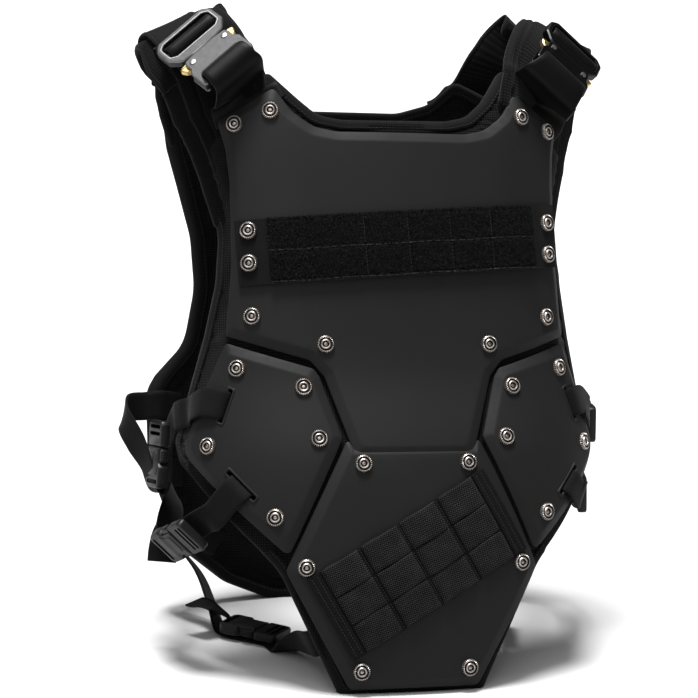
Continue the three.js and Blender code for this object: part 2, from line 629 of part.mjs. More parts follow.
// Middle stretches: taut on the right, slack on the left, in right-hand coordinates.
// The clip sits at the row that its number names, counted from the strap's first row.
const SIDE_STRAPS = {
  upper_right: {
    start: UPPER_START, clip: 6.5, ends: DOWN,
    end: [back(214, 241, 5), back(198, 239, 3), back(172, 238, 3)],
    rows: [
      { at: onSlot(UPPER_SLOT, 40, 8, 2), wide: DOWN },
      { at: [196, 86, 246], wide: DOWN },
      { at: [202, 110, 245], wide: DOWN },
      { at: [206, 134, 244], wide: DOWN },
      { at: [206, 158, 243], wide: DOWN },
    ],
  },
  upper_left: {
    start: UPPER_START, clip: 10, ends: UP,
    end: [back(208, 240, -14), back(196, 239, -15), back(178, 238, -15)],
    rows: [
      { at: onSlot(UPPER_SLOT, 33, 0, 0), wide: slotWay(UPPER_SLOT, -75) },
      { at: onSlot(UPPER_SLOT, 46, -4, -7.5), wide: DOWN },
      { at: onSlot(UPPER_SLOT, 57, -6, -8.2), wide: DOWN },
      { at: onSlot(UPPER_SLOT, 66, -8, -10), wide: DOWN },
      { at: [185, 93, 224], wide: [-0.1, -0.5, -0.85] },
      { at: [188, 100, 212], wide: [-0.15, -0.9, -0.4] },
      { at: [189.5, 101.5, 197], wide: EDGE_ON },
      { at: [190, 101.5, 174], wide: EDGE_ON },
      { at: [194, 104, 158], wide: EDGE_ON },
      { at: [205, 108, 159], wide: EDGE_ON },
      { at: [209, 110.5, 183], wide: [-0.25, -0.95, 0.1] },
      { at: [215, 115, 207], wide: [-0.45, -0.8, 0.4] },
      { at: [222.5, 125, 228], wide: [-0.2, -0.55, 0.8] },
      { at: [217, 138, 237], wide: [0, -0.25, 0.97] },
      { at: [199, 153, 238.6], wide: UP },
    ],
  },
  lower_right: {
    start: LOWER_START, clip: 6.5, ends: DOWN,
    end: [back(212, 180, 5), back(194, 179, 3), back(170, 178, 3)],
    rows: [
      { at: [184, 82, 144], wide: [0.2, 0.1, -0.97] },
      { at: [192, 104, 149], wide: DOWN },
      { at: [199, 128, 156], wide: DOWN },
      { at: [203, 154, 166], wide: DOWN },
    ],
  },
  lower_left: {
    start: LOWER_START, clip: 6.3, ends: DOWN,
    end: [back(208, 180, -14), back(194, 179, -15), back(174, 178, -15)],
    rows: [
      { at: [171.6, 42.6, 141], wide: LYING_CLIP },
      { at: [180.1, 59, 132.2], wide: LYING_CLIP },
      { at: [186, 80.8, 126.8], wide: LYING_CLIP },
      { at: [191, 96, 122.5], wide: LYING_CLIP },
      { at: [187, 110, 135], wide: LYING_CLIP },
      { at: [178, 131, 155], wide: [-0.65, 0.1, -0.75] },
      { at: [175, 160, 170], wide: [-0.35, 0.1, -0.93] },
    ],
  },
  bottom_right: {
    start: [], clip: 4, ends: DOWN,
    end: [back(158, 124, -16), back(146, 127, -17), back(128, 132, -17)],
    rows: [
      { at: front(76, 56, -26), wide: HEM_DOWN },
      { at: front(88, 52, -26.5), wide: HEM_DOWN },
      { at: [98, 46, 56], wide: [-0.2, 0, -0.98] },
      { at: [108, 84, 64], wide: DOWN },
      { at: [118, 124, 76], wide: DOWN },
      { at: [133, 168, 94], wide: DOWN },
      { at: [145, 198, 112], wide: DOWN },
    ],
  },
  bottom_left: {
    start: [], clip: 5.85, ends: UP,
    end: [back(172, 118, 7), back(156, 124, 4), back(138, 130, 4)],
    rows: [
      { at: front(70, 42, -26), wide: HEM_UP },
      { at: front(86, 36, -26), wide: HEM_UP },
      { at: [82.4, 50, 35.5], wide: [0.5, -0.15, 0.85] },
      { at: [84, 82, 30], wide: [0.85, -0.05, 0.5] },
      { at: lying(84, 112, 2.4), wide: floorWay(0.97, -0.2) },
      { at: lying(89, 133, 2.2), wide: floorWay(0.8, -0.6) },
      { at: lying(105.5, 149.5, 2.6), wide: floorWay(0.65, -0.75) },
      { at: lying(124, 165, 3.4), wide: floorWay(0.65, -0.75) },
      { at: lying(129.5, 171, 7), wide: [0.55, -0.8, 0] },
      { at: [134, 178, 58], wide: [0.5, -0.85, 0.1] },
      { at: [144.5, 190, 89], wide: [0.45, -0.8, 0.23] },
      { at: [168, 218, 120], wide: [0.4, -0.7, 0.4] },
    ],
  },
};
function clipShape() {
  const { wide, long, thick, waist, stand_off: low } = CLIP;
  const [w, l, n] = [wide / 2, long / 2, waist / 2];
  const half = spots(
    [w, -l], [w, -l * 0.3], [n, -l * 0.2], [n, l * 0.25], [w, l * 0.35], [w, l * 0.8], [w - 3, l],
  );
  const outline = evenSided(half);
  const end = (v) => turnedBox([0, v], wide - 7, 4, 0);
  return extruded(outline, low, low + thick, [end(-l + 6), end(l - 6)]);
}
for (const [key, { start, end, ends, clip: clipRow, rows: middle }] of Object.entries(SIDE_STRAPS)) {
  const [level, word] = key.split('_');
  const rows = [...start, ...middle, ...end.map((at) => ({ at, wide: ends }))];
  const web = swept(rows, flatSection(WEBBING), 2);
  const { centre, wide, run, normal } = sweep(rows).frameAt(clipRow / (rows.length - 1));
  const place = new THREE.Matrix4().makeBasis(wide, run, normal).setPosition(centre);
  const clip = toClosed(clipShape().applyMatrix4(place));
  add(`${level}_strap_${word}`, word === 'right' ? web : mirrored(web), WEB);
  add(`${level}_clip_${word}`, word === 'right' ? clip : mirrored(clip), PLASTIC);
}

// Lean the vest back onto its hems and set the origin under the middle of its box
vest.rotation.x = -LEAN;
vest.updateMatrixWorld(true);
const box = new THREE.Box3().setFromObject(vest, true);
vest.position.set(-(box.min.x + box.max.x) / 2, -(box.min.y + box.max.y) / 2, -box.min.z);

const object = new THREE.Group();
object.add(vest);
export default object;
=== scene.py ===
"""Dressed model of a paintball vest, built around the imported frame."""
import math
import random

import bmesh
import bpy
import numpy as np
from mathutils import Matrix, Vector
from mathutils.geometry import tessellate_polygon


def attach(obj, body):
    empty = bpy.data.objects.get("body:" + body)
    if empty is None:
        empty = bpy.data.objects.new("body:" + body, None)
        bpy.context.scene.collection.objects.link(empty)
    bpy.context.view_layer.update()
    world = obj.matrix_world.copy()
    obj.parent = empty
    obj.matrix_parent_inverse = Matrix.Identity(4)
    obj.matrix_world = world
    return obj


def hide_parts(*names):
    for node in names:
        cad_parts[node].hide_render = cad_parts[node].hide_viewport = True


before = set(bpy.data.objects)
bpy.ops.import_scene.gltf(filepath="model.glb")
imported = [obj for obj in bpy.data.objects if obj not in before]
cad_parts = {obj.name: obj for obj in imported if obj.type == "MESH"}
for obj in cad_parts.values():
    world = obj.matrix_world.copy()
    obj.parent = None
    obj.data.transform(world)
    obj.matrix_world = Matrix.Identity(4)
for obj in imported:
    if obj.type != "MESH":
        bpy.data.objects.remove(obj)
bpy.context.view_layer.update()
MM = 0.001
BODY = "vest"
SIDES = ("left", "right")
MIRROR = np.array((-1, 1, 1))
dice = random.Random(7)

# The vest is laid out upright in millimetres, then leans back onto its hems
LEAN = math.radians(12.5)
SHIFT = np.array((1.8611, -152.0741, 3.4170))
TURN = np.array((
    (1.0, 0.0, 0.0),
    (0.0, math.cos(LEAN), math.sin(LEAN)),
    (0.0, -math.sin(LEAN), math.cos(LEAN)),
))
FLOOR_AT_FRONT = -3.5
FLOOR_GAP = 0.0003


def turned(directions):
    return np.asarray(directions, float) @ TURN.T


def placed(points):
    return (np.asarray(points, float) @ TURN.T + SHIFT) * MM


def unit(vector):
    vector = np.asarray(vector, float)
    return vector / np.linalg.norm(vector)


# Plan curves and profiles of the two panels
FRONT_PLAN = {"flat": 85, "middle_radius": 600, "side_radius": 145}
BACK_PLAN = {"flat": 110, "middle_radius": 320, "side_radius": 200}
FRONT_PROFILE = {
    "z": (-10, 100, 190, 270, 390, 510, 575),
    "y": (-12, -21, -19, -1, 8, 24, 45),
}
BACK_PROFILE = {
    "z": (40, 200, 350, 450, 520, 560),
    "y": (286, 270, 246, 222, 192, 168),
    "wrap": (1, 1, 1, 0.92, 0.8, 0.75),
}


def column(table, name):
    """Smooth value of one column of a table at heights z."""
    zs = np.array(table["z"], float)
    vs = np.array(table[name], float)
    last = len(zs) - 1
    slopes = np.array([
        (vs[min(i + 1, last)] - vs[max(i - 1, 0)]) / (zs[min(i + 1, last)] - zs[max(i - 1, 0)])
        for i in range(len(zs))
    ])

    def value(z):
        z = np.asarray(z, float)
        i = np.clip(np.searchsorted(zs, z, side="right") - 1, 0, last - 1)
        step = zs[i + 1] - zs[i]
        t = np.clip((z - zs[i]) / step, -0.5, 1.5)
        ends = (2 * t**3 - 3 * t**2 + 1) * vs[i] + (3 * t**2 - 2 * t**3) * vs[i + 1]
        return ends + step * ((t**3 - 2 * t**2 + t) * slopes[i] + (t**3 - t**2) * slopes[i + 1])

    return value


front_depth = column(FRONT_PROFILE, "y")
back_depth = column(BACK_PROFILE, "y")
back_wrap = column(BACK_PROFILE, "wrap")


def along(plan, s):
    """Sideways reach, set-back and turn at the distance s along a plan curve."""
    s = np.asarray(s, float)
    side = np.where(s < 0, -1.0, 1.0)
    far = np.abs(s)
    flat, middle, tight = plan["flat"], plan["middle_radius"], plan["side_radius"]
    bend = flat / middle
    turn = np.where(far <= flat, far / middle, bend + (far - flat) / tight)
    reach = np.where(
        far <= flat,
        middle * np.sin(turn),
        middle * math.sin(bend) + tight * (np.sin(turn) - math.sin(bend)),
    )
    set_back = np.where(
        far <= flat,
        middle * (1 - np.cos(turn)),
        middle * (1 - math.cos(bend)) + tight * (math.cos(bend) - np.cos(turn)),
    )
    return side * reach, set_back, side * turn


def front(s, z, n):
    """Points of the front surface: s across, z up, n out of the vest."""
    s, z, n = (np.asarray(a, float) for a in (s, z, n))
    x, set_back, turn = along(FRONT_PLAN, s)
    slope = (front_depth(z + 1) - front_depth(z - 1)) / 2
    out = np.stack((np.sin(turn), -np.cos(turn), np.cos(turn) * slope), axis=-1)
    out /= np.linalg.norm(out, axis=-1, keepdims=True)
    base = np.stack(np.broadcast_arrays(x, front_depth(z) + set_back, z), axis=-1)
    return base + out * n[..., None]


def back(s, z, n):
    s, z, n = (np.asarray(a, float) for a in (s, z, n))
    x, set_back, turn = along(BACK_PLAN, s)
    y = back_depth(z) - back_wrap(z) * set_back + n * np.cos(turn)
    return np.stack(np.broadcast_arrays(x + n * np.sin(turn), y, z), axis=-1)


def front_way(s, z, ds, dz):
    """Direction in the front surface from steps along s and z."""
    turn = float(along(FRONT_PLAN, s)[2])
    slope = float(front_depth(z + 1) - front_depth(z - 1)) / 2
    return (ds * math.cos(turn), ds * math.sin(turn) + dz * slope, dz)


# Outlines in the flat
def inset(points, distance):
    """Counter-clockwise outline moved inwards, corner by corner."""
    points = np.asarray(points, float)
    edge = np.roll(points, -1, axis=0) - points
    edge /= np.linalg.norm(edge, axis=1, keepdims=True)
    after = np.stack((-edge[:, 1], edge[:, 0]), axis=1)
    before = np.roll(after, 1, axis=0)
    share = 1 + (before * after).sum(axis=1, keepdims=True)
    return points + (before + after) * distance / share


def counter_clockwise(points, radii=None):
    points = np.asarray(points, float)
    nxt = np.roll(points, -1, axis=0)
    area = (points[:, 0] * nxt[:, 1] - nxt[:, 0] * points[:, 1]).sum()
    if area >= 0:
        return points, radii
    return points[::-1], None if radii is None else list(radii)[::-1]


def rounded(points, radii, arc=5):
    """Outline with each corner turned into a short arc."""
    points = np.asarray(points, float)
    count = len(points)
    radii = [radii] * count if np.isscalar(radii) else radii
    result = []
    for i in range(count):
        here = points[i]
        towards = points[i - 1] - here
        onward = points[(i + 1) % count] - here
        a, b = np.linalg.norm(towards), np.linalg.norm(onward)
        towards, onward = towards / a, onward / b
        half = math.acos(max(-1.0, min(1.0, float(towards @ onward)))) / 2
        cut = min(radii[i] / max(math.tan(half), 1e-3), 0.47 * a, 0.47 * b)
        for k in range(arc):
            t = k / (arc - 1)
            p, q = here + towards * cut, here + onward * cut
            result.append((1 - t) ** 2 * p + 2 * t * (1 - t) * here + t**2 * q)
    return np.array(result)


def symmetric(half, radii=None):
    """Outline and corner radii from the right half, top to bottom."""
    points = list(half) + [(-x, y) for x, y in reversed(half)]
    return points, None if radii is None else list(radii) + list(reversed(radii))


def turned_box(middle, long, wide, degrees):
    t = math.radians(degrees)
    corners = ((-1, -1), (1, -1), (1, 1), (-1, 1))
    return [(
        middle[0] + a * long / 2 * math.cos(t) - b * wide / 2 * math.sin(t),
        middle[1] + a * long / 2 * math.sin(t) + b * wide / 2 * math.cos(t),
    ) for a, b in corners]


def rim_distance(points, rim):
    """Distance of flat points from a closed outline."""
    points = np.asarray(points, float)[:, None, :]
    a = np.asarray(rim, float)[None]
    d = np.roll(a, -1, axis=1) - a
    t = ((points - a) * d).sum(-1) / np.maximum((d * d).sum(-1), 1e-9)
    gap = points - a - d * np.clip(t, 0, 1)[..., None]
    return np.sqrt((gap * gap).sum(-1)).min(axis=1)


# Meshes
def finish_mesh(name, points, faces, uvs=None, sharp=35):
    """Mesh from points in metres, smooth except at sharp edges."""
    mesh = bpy.data.meshes.new(name)
    mesh.from_pydata([tuple(p) for p in points], [], [tuple(f) for f in faces])
    if uvs is not None:
        layer = mesh.uv_layers.new(name="flat")
        index = np.zeros(len(mesh.loops), dtype=np.int32)
        mesh.loops.foreach_get("vertex_index", index)
        layer.data.foreach_set("uv", np.asarray(uvs, np.float32)[index].ravel())
    mesh.polygons.foreach_set("use_smooth", [True] * len(mesh.polygons))
    if sharp is not None:
        mesh.set_sharp_from_angle(angle=math.radians(sharp))
    mesh.validate()
    return mesh


def piece(name, mesh, material, slot, *nodes, body=BODY):
    obj = bpy.data.objects.new(name, mesh)
    bpy.context.scene.collection.objects.link(obj)
    mesh.materials.append(material)
    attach(obj, body)
    if nodes:
        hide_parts(*nodes)
    return obj


def made(name, shape, sharp, material, slot, *nodes, body=BODY, outward=False):
    """Piece from a shape in upright millimetres: its points, faces and flat coordinates."""
    points, faces, uvs = shape
    points = placed(points)
    points[:, 2] = np.maximum(points[:, 2], FLOOR_GAP)
    mesh = finish_mesh(name, points, faces, uvs, sharp)
    if outward:
        bm = bmesh.new()
        bm.from_mesh(mesh)
        bmesh.ops.recalc_face_normals(bm, faces=bm.faces[:])
        bm.to_mesh(mesh)
        bm.free()
    return piece(name, mesh, material, slot, *nodes, body=body)


def tube_faces(rings, count, closed=False):
    """Faces between rings of points: a tube with a cap at each end, or one that closes on itself."""
    faces = []
    for i in range(rings if closed else rings - 1):
        j = (i + 1) % rings
        for k in range(count):
            m = (k + 1) % count
            faces.append((i * count + k, i * count + m, j * count + m, j * count + k))
    if not closed:
        faces.append(tuple(range(count))[::-1])
        faces.append(tuple((rings - 1) * count + k for k in range(count)))
    return faces


def flat_solid(corners, radii, layers, holes=(), step=8.0, arc=5):
    """Flat layered solid, cut into a grid: its points (x, y, n), faces and rim."""
    corners, radii = counter_clockwise(corners, radii)
    rim = rounded(corners, radii, arc)
    bores = [np.asarray(counter_clockwise(hole)[0])[::-1] for hole in holes]
    bm = bmesh.new()
    rings = []
    for n, inward in layers:
        loops = [rounded(inset(corners, inward), radii, arc) if inward else rim, *bores]
        rings.append([[bm.verts.new((x, y, n)) for x, y in loop] for loop in loops])
    for lower, upper in zip(rings, rings[1:]):
        for a, b in zip(lower, upper):
            for j in range(len(a)):
                k = (j + 1) % len(a)
                bm.faces.new((a[j], a[k], b[k], b[j]))
    for ring in (rings[0], rings[-1]):
        flat = [v for loop in ring for v in loop]
        loops = [[Vector((v.co.x, v.co.y, 0)) for v in loop] for loop in ring]
        for tri in tessellate_polygon(loops):
            bm.faces.new([flat[i] for i in tri])
    for axis in (0, 1):
        values = [v.co[axis] for v in bm.verts]
        way = Vector((1 - axis, axis, 0))
        count = int((max(values) - min(values)) / step)
        for i in range(1, count + 1):
            at = way * (min(values) + (max(values) - min(values)) * i / (count + 1))
            everything = bm.verts[:] + bm.edges[:] + bm.faces[:]
            bmesh.ops.bisect_plane(bm, geom=everything, plane_co=at, plane_no=way, dist=1e-4)
    bmesh.ops.recalc_face_normals(bm, faces=bm.faces[:])
    bm.verts.index_update()
    points = np.array([v.co for v in bm.verts])
    faces = [[v.index for v in f.verts] for f in bm.faces]
    bm.free()
    return points, faces, rim


def edge_band(corners, radii, section, arc=5):
    """Closed ring of cloth along an outline; the section lists (inward, n) points."""
    corners, radii = counter_clockwise(corners, radii)
    rings = [rounded(inset(corners, inward), radii, arc) for inward, _ in section]
    points = [(x, y, n) for ring, (_, n) in zip(rings, section) for x, y in ring]
    return np.array(points), tube_faces(len(section), len(rings[0]), closed=True)


# Strap paths: centripetal curves through rows of centre points and width directions
def smooth_path(rows, count):
    rows = np.asarray(rows, float)
    first = 2 * rows[0] - rows[1]
    last = 2 * rows[-1] - rows[-2]
    knots = np.vstack((first, rows, last))
    result = []
    for i in range(count + 1):
        place_on = i / count * (len(rows) - 1)
        k = min(int(place_on), len(rows) - 2)
        w = place_on - k
        p = knots[k:k + 4]
        gaps = np.maximum(np.linalg.norm(np.diff(p, axis=0), axis=1) ** 0.5, 1e-4)
        t1 = (p[1] - p[0]) / gaps[0] - (p[2] - p[0]) / (gaps[0] + gaps[1]) + (p[2] - p[1]) / gaps[1]
        t2 = (p[2] - p[1]) / gaps[1] - (p[3] - p[1]) / (gaps[1] + gaps[2]) + (p[3] - p[2]) / gaps[2]
        t1, t2 = t1 * gaps[1], t2 * gaps[1]
        result.append(
            (2 * w**3 - 3 * w**2 + 1) * p[1] + (w**3 - 2 * w**2 + w) * t1
            + (3 * w**2 - 2 * w**3) * p[2] + (w**3 - w**2) * t2
        )
    return np.array(result)


def way_along(path):
    """Distance of each point of a path from its start."""
    return np.concatenate(((0,), np.cumsum(np.linalg.norm(np.diff(path, axis=0), axis=1))))


class Strap:
    """Moving frame along a strap: centre, width, run and outward normal."""

    def __init__(self, rows, steps=10):
        count = (len(rows) - 1) * steps
        self.centre = smooth_path([r[0] for r in rows], count)
        wide = smooth_path([r[1] for r in rows], count)
        self.run = np.gradient(self.centre, axis=0)
        self.run /= np.linalg.norm(self.run, axis=1, keepdims=True)
        wide -= self.run * (wide * self.run).sum(axis=1, keepdims=True)
        self.wide = wide / np.linalg.norm(wide, axis=1, keepdims=True)
        self.normal = np.cross(self.wide, self.run)
        self.length = way_along(self.centre)

    def at(self, share):
        i = min(int(round(share * (len(self.centre) - 1))), len(self.centre) - 1)
        return self.centre[i], self.wide[i], self.run[i], self.normal[i]

    def solid(self, section, mirror=False):
        """Points, faces and flat coordinates of a section swept along the strap.
        The section is a closed loop of (across, out), or a function of the ring's number."""
        rings = []
        uvs = []
        for i in range(len(self.centre)):
            loop = np.asarray(section(i) if callable(section) else section, float)
            rings.append(self.centre[i] + loop[:, :1] * self.wide[i] + loop[:, 1:2] * self.normal[i])
            uvs.append(np.stack((loop[:, 0], np.full(len(loop), self.length[i])), axis=1))
        faces = tube_faces(len(rings), len(rings[0]))
        points = np.vstack(rings)
        if mirror:
            points = points * MIRROR
            faces = [f[::-1] for f in faces]
        return points, faces, np.vstack(uvs) * MM


def run_of(way, *points):
    """Rows of a strap that keep one width direction."""
    return [(point, way) for point in points]


def tape_section(wide, thick, columns=8):
    """Flat webbing section with soft edges."""
    half, edge = wide / 2, thick / 2
    top = [(-half + edge + (wide - 2 * edge) * i / columns, edge) for i in range(columns + 1)]
    low = [(x, -edge) for x, _ in reversed(top)]
    right = [(half - edge * 0.3, edge * 0.6), (half, 0), (half - edge * 0.3, -edge * 0.6)]
    left = [(-half + edge * 0.3, -edge * 0.6), (-half, 0), (-half + edge * 0.3, edge * 0.6)]
    return [*low[::-1], *right[::-1], *top[::-1], *left[::-1]]


def tape(name, rows, material, *nodes, wide, thick, steps=10, mirror=False):
    shape = Strap(rows, steps).solid(tape_section(wide, thick), mirror)
    made(name, shape, 60, material, "webbing", *nodes)


# Materials
class Nodes:
    """Shorthand for a material's node tree."""

    def __init__(self, name, colour, rough, metal=0.0, specular=0.5):
        self.material = bpy.data.materials.new(name)
        self.material.use_nodes = True
        self.tree = self.material.node_tree
        self.shader = self.tree.nodes["Principled BSDF"]
        self.set(self.shader, {
            "Base Color": (*colour, 1), "Roughness": rough, "Metallic": metal, "Specular IOR Level": specular,
        })
        self.material.diffuse_color = (*colour, 1)

    def set(self, node, values):
        for key, value in values.items():
            if isinstance(value, bpy.types.NodeSocket):
                self.tree.links.new(value, node.inputs[key])
            else:
                node.inputs[key].default_value = value
        return node

    def add(self, kind, values=None, **settings):
        node = self.tree.nodes.new("ShaderNode" + kind)
        for key, value in settings.items():
            setattr(node, key, value)
        return self.set(node, values or {})

    def coordinates(self, flat=True):
        if flat:
            return self.add("UVMap", uv_map="flat").outputs[0]
        return self.add("TexCoord").outputs["Object"]

    def scaled(self, vector, scale, turn=0.0):
        return self.add("Mapping", {"Vector": vector, "Scale": scale, "Rotation": (0, 0, turn)}).outputs[0]

    def noise(self, vector, scale, detail=3.0, rough=0.5):
        node = self.add("TexNoise", {"Vector": vector, "Scale": scale, "Detail": detail, "Roughness": rough})
        return node.outputs["Fac"]

    def sines(self, vector, turns):
        """Two sine waves, with the given turns in a metre along each axis."""
        angle = [2 * math.pi * t for t in turns]
        waves = self.add("VectorMath", {0: self.scaled(vector, (*angle, 1.0))}, operation="SINE").outputs[0]
        parts = self.add("SeparateXYZ", {0: waves})
        return parts.outputs[0], parts.outputs[1]

    def math(self, operation, a, b):
        return self.add("Math", {0: a, 1: b}, operation=operation).outputs[0]

    def ramp(self, value, low, high, stops):
        """Colour between two stops of a value."""
        node = self.add("ValToRGB", {"Fac": value})
        node.color_ramp.elements[0].position = low
        node.color_ramp.elements[1].position = high
        for element, colour in zip(node.color_ramp.elements, stops):
            element.color = (*colour, 1)
        return node.outputs[0]

    def spread(self, value, low, high):
        """Value of 0 to 1 taken onto a range."""
        return self.add("MapRange", {"Value": value, "To Min": low, "To Max": high}).outputs[0]

    def bump(self, height, distance, strength=1.0, under=None):
        values = {"Height": height, "Distance": distance, "Strength": strength}
        if under is not None:
            values["Normal"] = under
        return self.add("Bump", values).outputs[0]

    def finish(self, **links):
        names = {"colour": "Base Color", "rough": "Roughness", "normal": "Normal"}
        for key, socket in links.items():
            self.tree.links.new(socket, self.shader.inputs[names[key]])
        return self.material


def grey(value, warm=0.0):
    """Linear colour of an sRGB grey, 0 to 255."""
    c = value / 255
    linear = c / 12.92 if c <= 0.04045 else ((c + 0.055) / 1.055) ** 2.4
    return (linear * (1 + warm), linear, linear * (1 - warm))


def foam_material():
    m = Nodes("moulded_foam", grey(20), 0.6, specular=0.13)
    spot = m.coordinates(flat=False)
    under = m.bump(m.noise(spot, 320.0), 0.00012, 0.35)
    return m.finish(
        colour=m.ramp(m.noise(spot, 9.0, 4.0), 0.25, 0.8, (grey(18), grey(22))),
        rough=m.spread(m.noise(spot, 40.0), 0.52, 0.68),
        normal=m.bump(m.noise(spot, 1500.0, 2.0), 0.00006, 0.5, under),
    )


def mesh_material(name, dark, light, pitch=0.0031):
    """Spacer mesh: small diamond holes between knitted strands."""
    m = Nodes(name, grey(light), 0.92, specular=0.06)
    m.set(m.shader, {"Sheen Weight": 0.05, "Sheen Roughness": 0.5})
    flat = m.coordinates()
    holes_u, holes_v = m.sines(m.scaled(flat, (1, 1, 1), math.radians(45)), (1 / pitch, 1 / pitch))
    holes = m.math("MULTIPLY", holes_u, holes_v)
    strand = m.noise(m.scaled(flat, (1, 2.2, 1)), 1300.0, 2.0)
    mixed = m.math("ADD", m.spread(holes, 0.15, 0.85), m.spread(strand, -0.25, 0.25))
    patch = m.noise(flat, 30.0, 3.0)
    level = m.math("ADD", mixed, m.spread(patch, -0.2, 0.2))
    return m.finish(
        colour=m.ramp(level, 0.2, 0.85, (grey(dark), grey(light))),
        normal=m.bump(mixed, 0.0006, 0.7),
    )


def webbing_material(name, dark, light, rough=0.75, rib=0.0023, weft=0.0019, sheen=0.04):
    """Woven webbing: ribs along it, crossed by fine weft."""
    m = Nodes(name, grey(light), rough, specular=0.1)
    m.set(m.shader, {"Sheen Weight": sheen, "Sheen Roughness": 0.4})
    flat = m.coordinates()
    ribs, wefts = m.sines(flat, (1 / rib, 1 / weft))
    weave = m.math("MULTIPLY", ribs, wefts)
    level = m.math("ADD", m.spread(weave, 0.1, 0.9), m.spread(ribs, -0.12, 0.12))
    worn = m.math("ADD", level, m.spread(m.noise(flat, 60.0, 4.0), -0.3, 0.3))
    return m.finish(
        colour=m.ramp(worn, 0.15, 0.9, (grey(dark), grey(light))),
        normal=m.bump(level, 0.00035, 0.75),
    )


def satin_material():
    m = Nodes("satin_webbing", grey(14), 0.44, specular=0.09)
    m.set(m.shader, {"Sheen Weight": 0.06, "Sheen Roughness": 0.3, "Anisotropic": 0.4})
    flat = m.coordinates()
    ribs, wefts = m.sines(flat, (1 / 0.0011, 1 / 0.0008))
    level = m.math("ADD", m.spread(m.math("MULTIPLY", ribs, wefts), 0.2, 0.8),
                   m.spread(m.noise(flat, 90.0, 3.0), -0.2, 0.2))
    return m.finish(
        colour=m.ramp(level, 0.1, 0.9, (grey(2), grey(7))),
        rough=m.spread(m.noise(flat, 25.0, 3.0), 0.4, 0.56),
        normal=m.bump(level, 0.0002, 0.5),
    )


def fuzz_material(name, dark, light, scale):
    m = Nodes(name, grey(light), 0.95, specular=0.02)
    m.set(m.shader, {"Sheen Weight": 0.02, "Sheen Roughness": 0.6})
    spot = m.coordinates(flat=False)
    return m.finish(colour=m.ramp(m.noise(spot, scale, 3.0), 0.42, 0.62, (grey(dark), grey(light))))


def metal_material(name, colour, rough, worn=0.12, scratch=900.0):
    m = Nodes(name, colour, rough, metal=1.0)
    spot = m.coordinates(flat=False)
    patch = m.noise(spot, 260.0, 4.0)
    dark = tuple(c * (1 - worn) for c in colour)
    light = tuple(min(1.0, c * (1 + worn)) for c in colour)
    grain = m.noise(m.scaled(spot, (1, 1, 0.2)), scratch, 2.0)
    return m.finish(
        colour=m.ramp(patch, 0.3, 0.7, (dark, light)),
        rough=m.spread(grain, rough * 0.8, min(1.0, rough * 1.25)),
        normal=m.bump(grain, 0.00002, 0.4),
    )


def plastic_material():
    m = Nodes("clip_plastic", grey(14), 0.42, specular=0.2)
    spot = m.coordinates(flat=False)
    grain = m.noise(spot, 1100.0, 2.0)
    return m.finish(
        colour=m.ramp(m.noise(spot, 60.0, 3.0), 0.3, 0.7, (grey(10), grey(17))),
        rough=m.spread(m.noise(spot, 180.0, 3.0), 0.34, 0.52),
        normal=m.bump(grain, 0.00004, 0.5),
    )


def thread_material(name, value):
    m = Nodes(name, grey(value), 0.7, specular=0.4)
    spot = m.coordinates(flat=False)
    ply = m.noise(spot, 2500.0, 1.0)
    return m.finish(
        colour=m.ramp(ply, 0.3, 0.7, (grey(value * 0.75), grey(value * 1.15))),
        normal=m.bump(ply, 0.00005, 0.5),
    )


FOAM = foam_material()
MESH = mesh_material("spacer_mesh", 0, 27)
PAD_MESH = mesh_material("pad_mesh", 0, 18)
BINDING = webbing_material("edge_binding", 6, 17, rough=0.85, rib=0.0017, weft=0.0017)
WEBBING = webbing_material("webbing", 0, 15)
FIELD_WEBBING = webbing_material("field_webbing", 0, 52, rough=0.8, rib=0.0024, weft=0.0022)
# Near-black webbing for the grid's sewn grooves: painted shade
SEAM_SHADE_WEBBING = webbing_material("seam_groove_painted_shade", 1, 8, rough=0.9)
SATIN = satin_material()
FUZZ = fuzz_material("loop_fuzz", 0, 12, 800.0)
FIBRE_FUZZ = fuzz_material("loop_fibre", 0, 32, 760.0)
PEWTER = metal_material("pewter", (0.37, 0.335, 0.31), 0.38, worn=0.3, scratch=1800.0)
# Near-black pewter for the snaps' grooves and tooth gaps: painted shade in the recesses
SHADED_PEWTER = metal_material("pewter_recess_painted_shade", (0.02, 0.019, 0.018), 0.6)
GREY_METAL = metal_material("grey_metal", (0.052, 0.052, 0.053), 0.5)
BLACK_METAL = metal_material("black_metal", (0.006, 0.006, 0.0062), 0.45)
GOLD = metal_material("gold", (0.6, 0.42, 0.17), 0.34)
RIVET = metal_material("bright_rivet", (0.6, 0.59, 0.58), 0.25)
# Brighter metals laid on the buckles' bevels: painted highlights along the edges
HIGHLIGHT_EDGE = metal_material("edge_painted_highlight", (0.22, 0.22, 0.222), 0.36)
BLACK_HIGHLIGHT_EDGE = metal_material("black_edge_painted_highlight", (0.022, 0.022, 0.0225), 0.4)
PLASTIC = plastic_material()
THREAD = thread_material("dark_thread", 13)
PALE_THREAD = thread_material("pale_thread", 46)
BLACK_THREAD = thread_material("black_thread", 3)


# Camera and studio. The photograph's viewing axes are in the upright frame.
PHOTO_SIDE = 698
FOCAL_PX = 2430.49
PHOTO_CENTRE = (409.925, 343.955)
EYE = (-589.0177, -1971.9230, 248.3281)
RIGHT = (0.9581848, -0.2860607, -0.0071543)
UP = (0.0010625, -0.0214451, 0.9997695)
BACKWARD = (-0.2861482, -0.9579715, -0.0202444)
SENSOR = 36.0
SKY = 0.12
PAPER = 0.45
FLOOR_HALF = 60
# Name, direction to the light, strength and spread in degrees
SUNS = (("top", (-0.1, 0.0, 1.0), 8.3, 16), ("key", (-0.42, -0.75, 1.15), 1.7, 60))


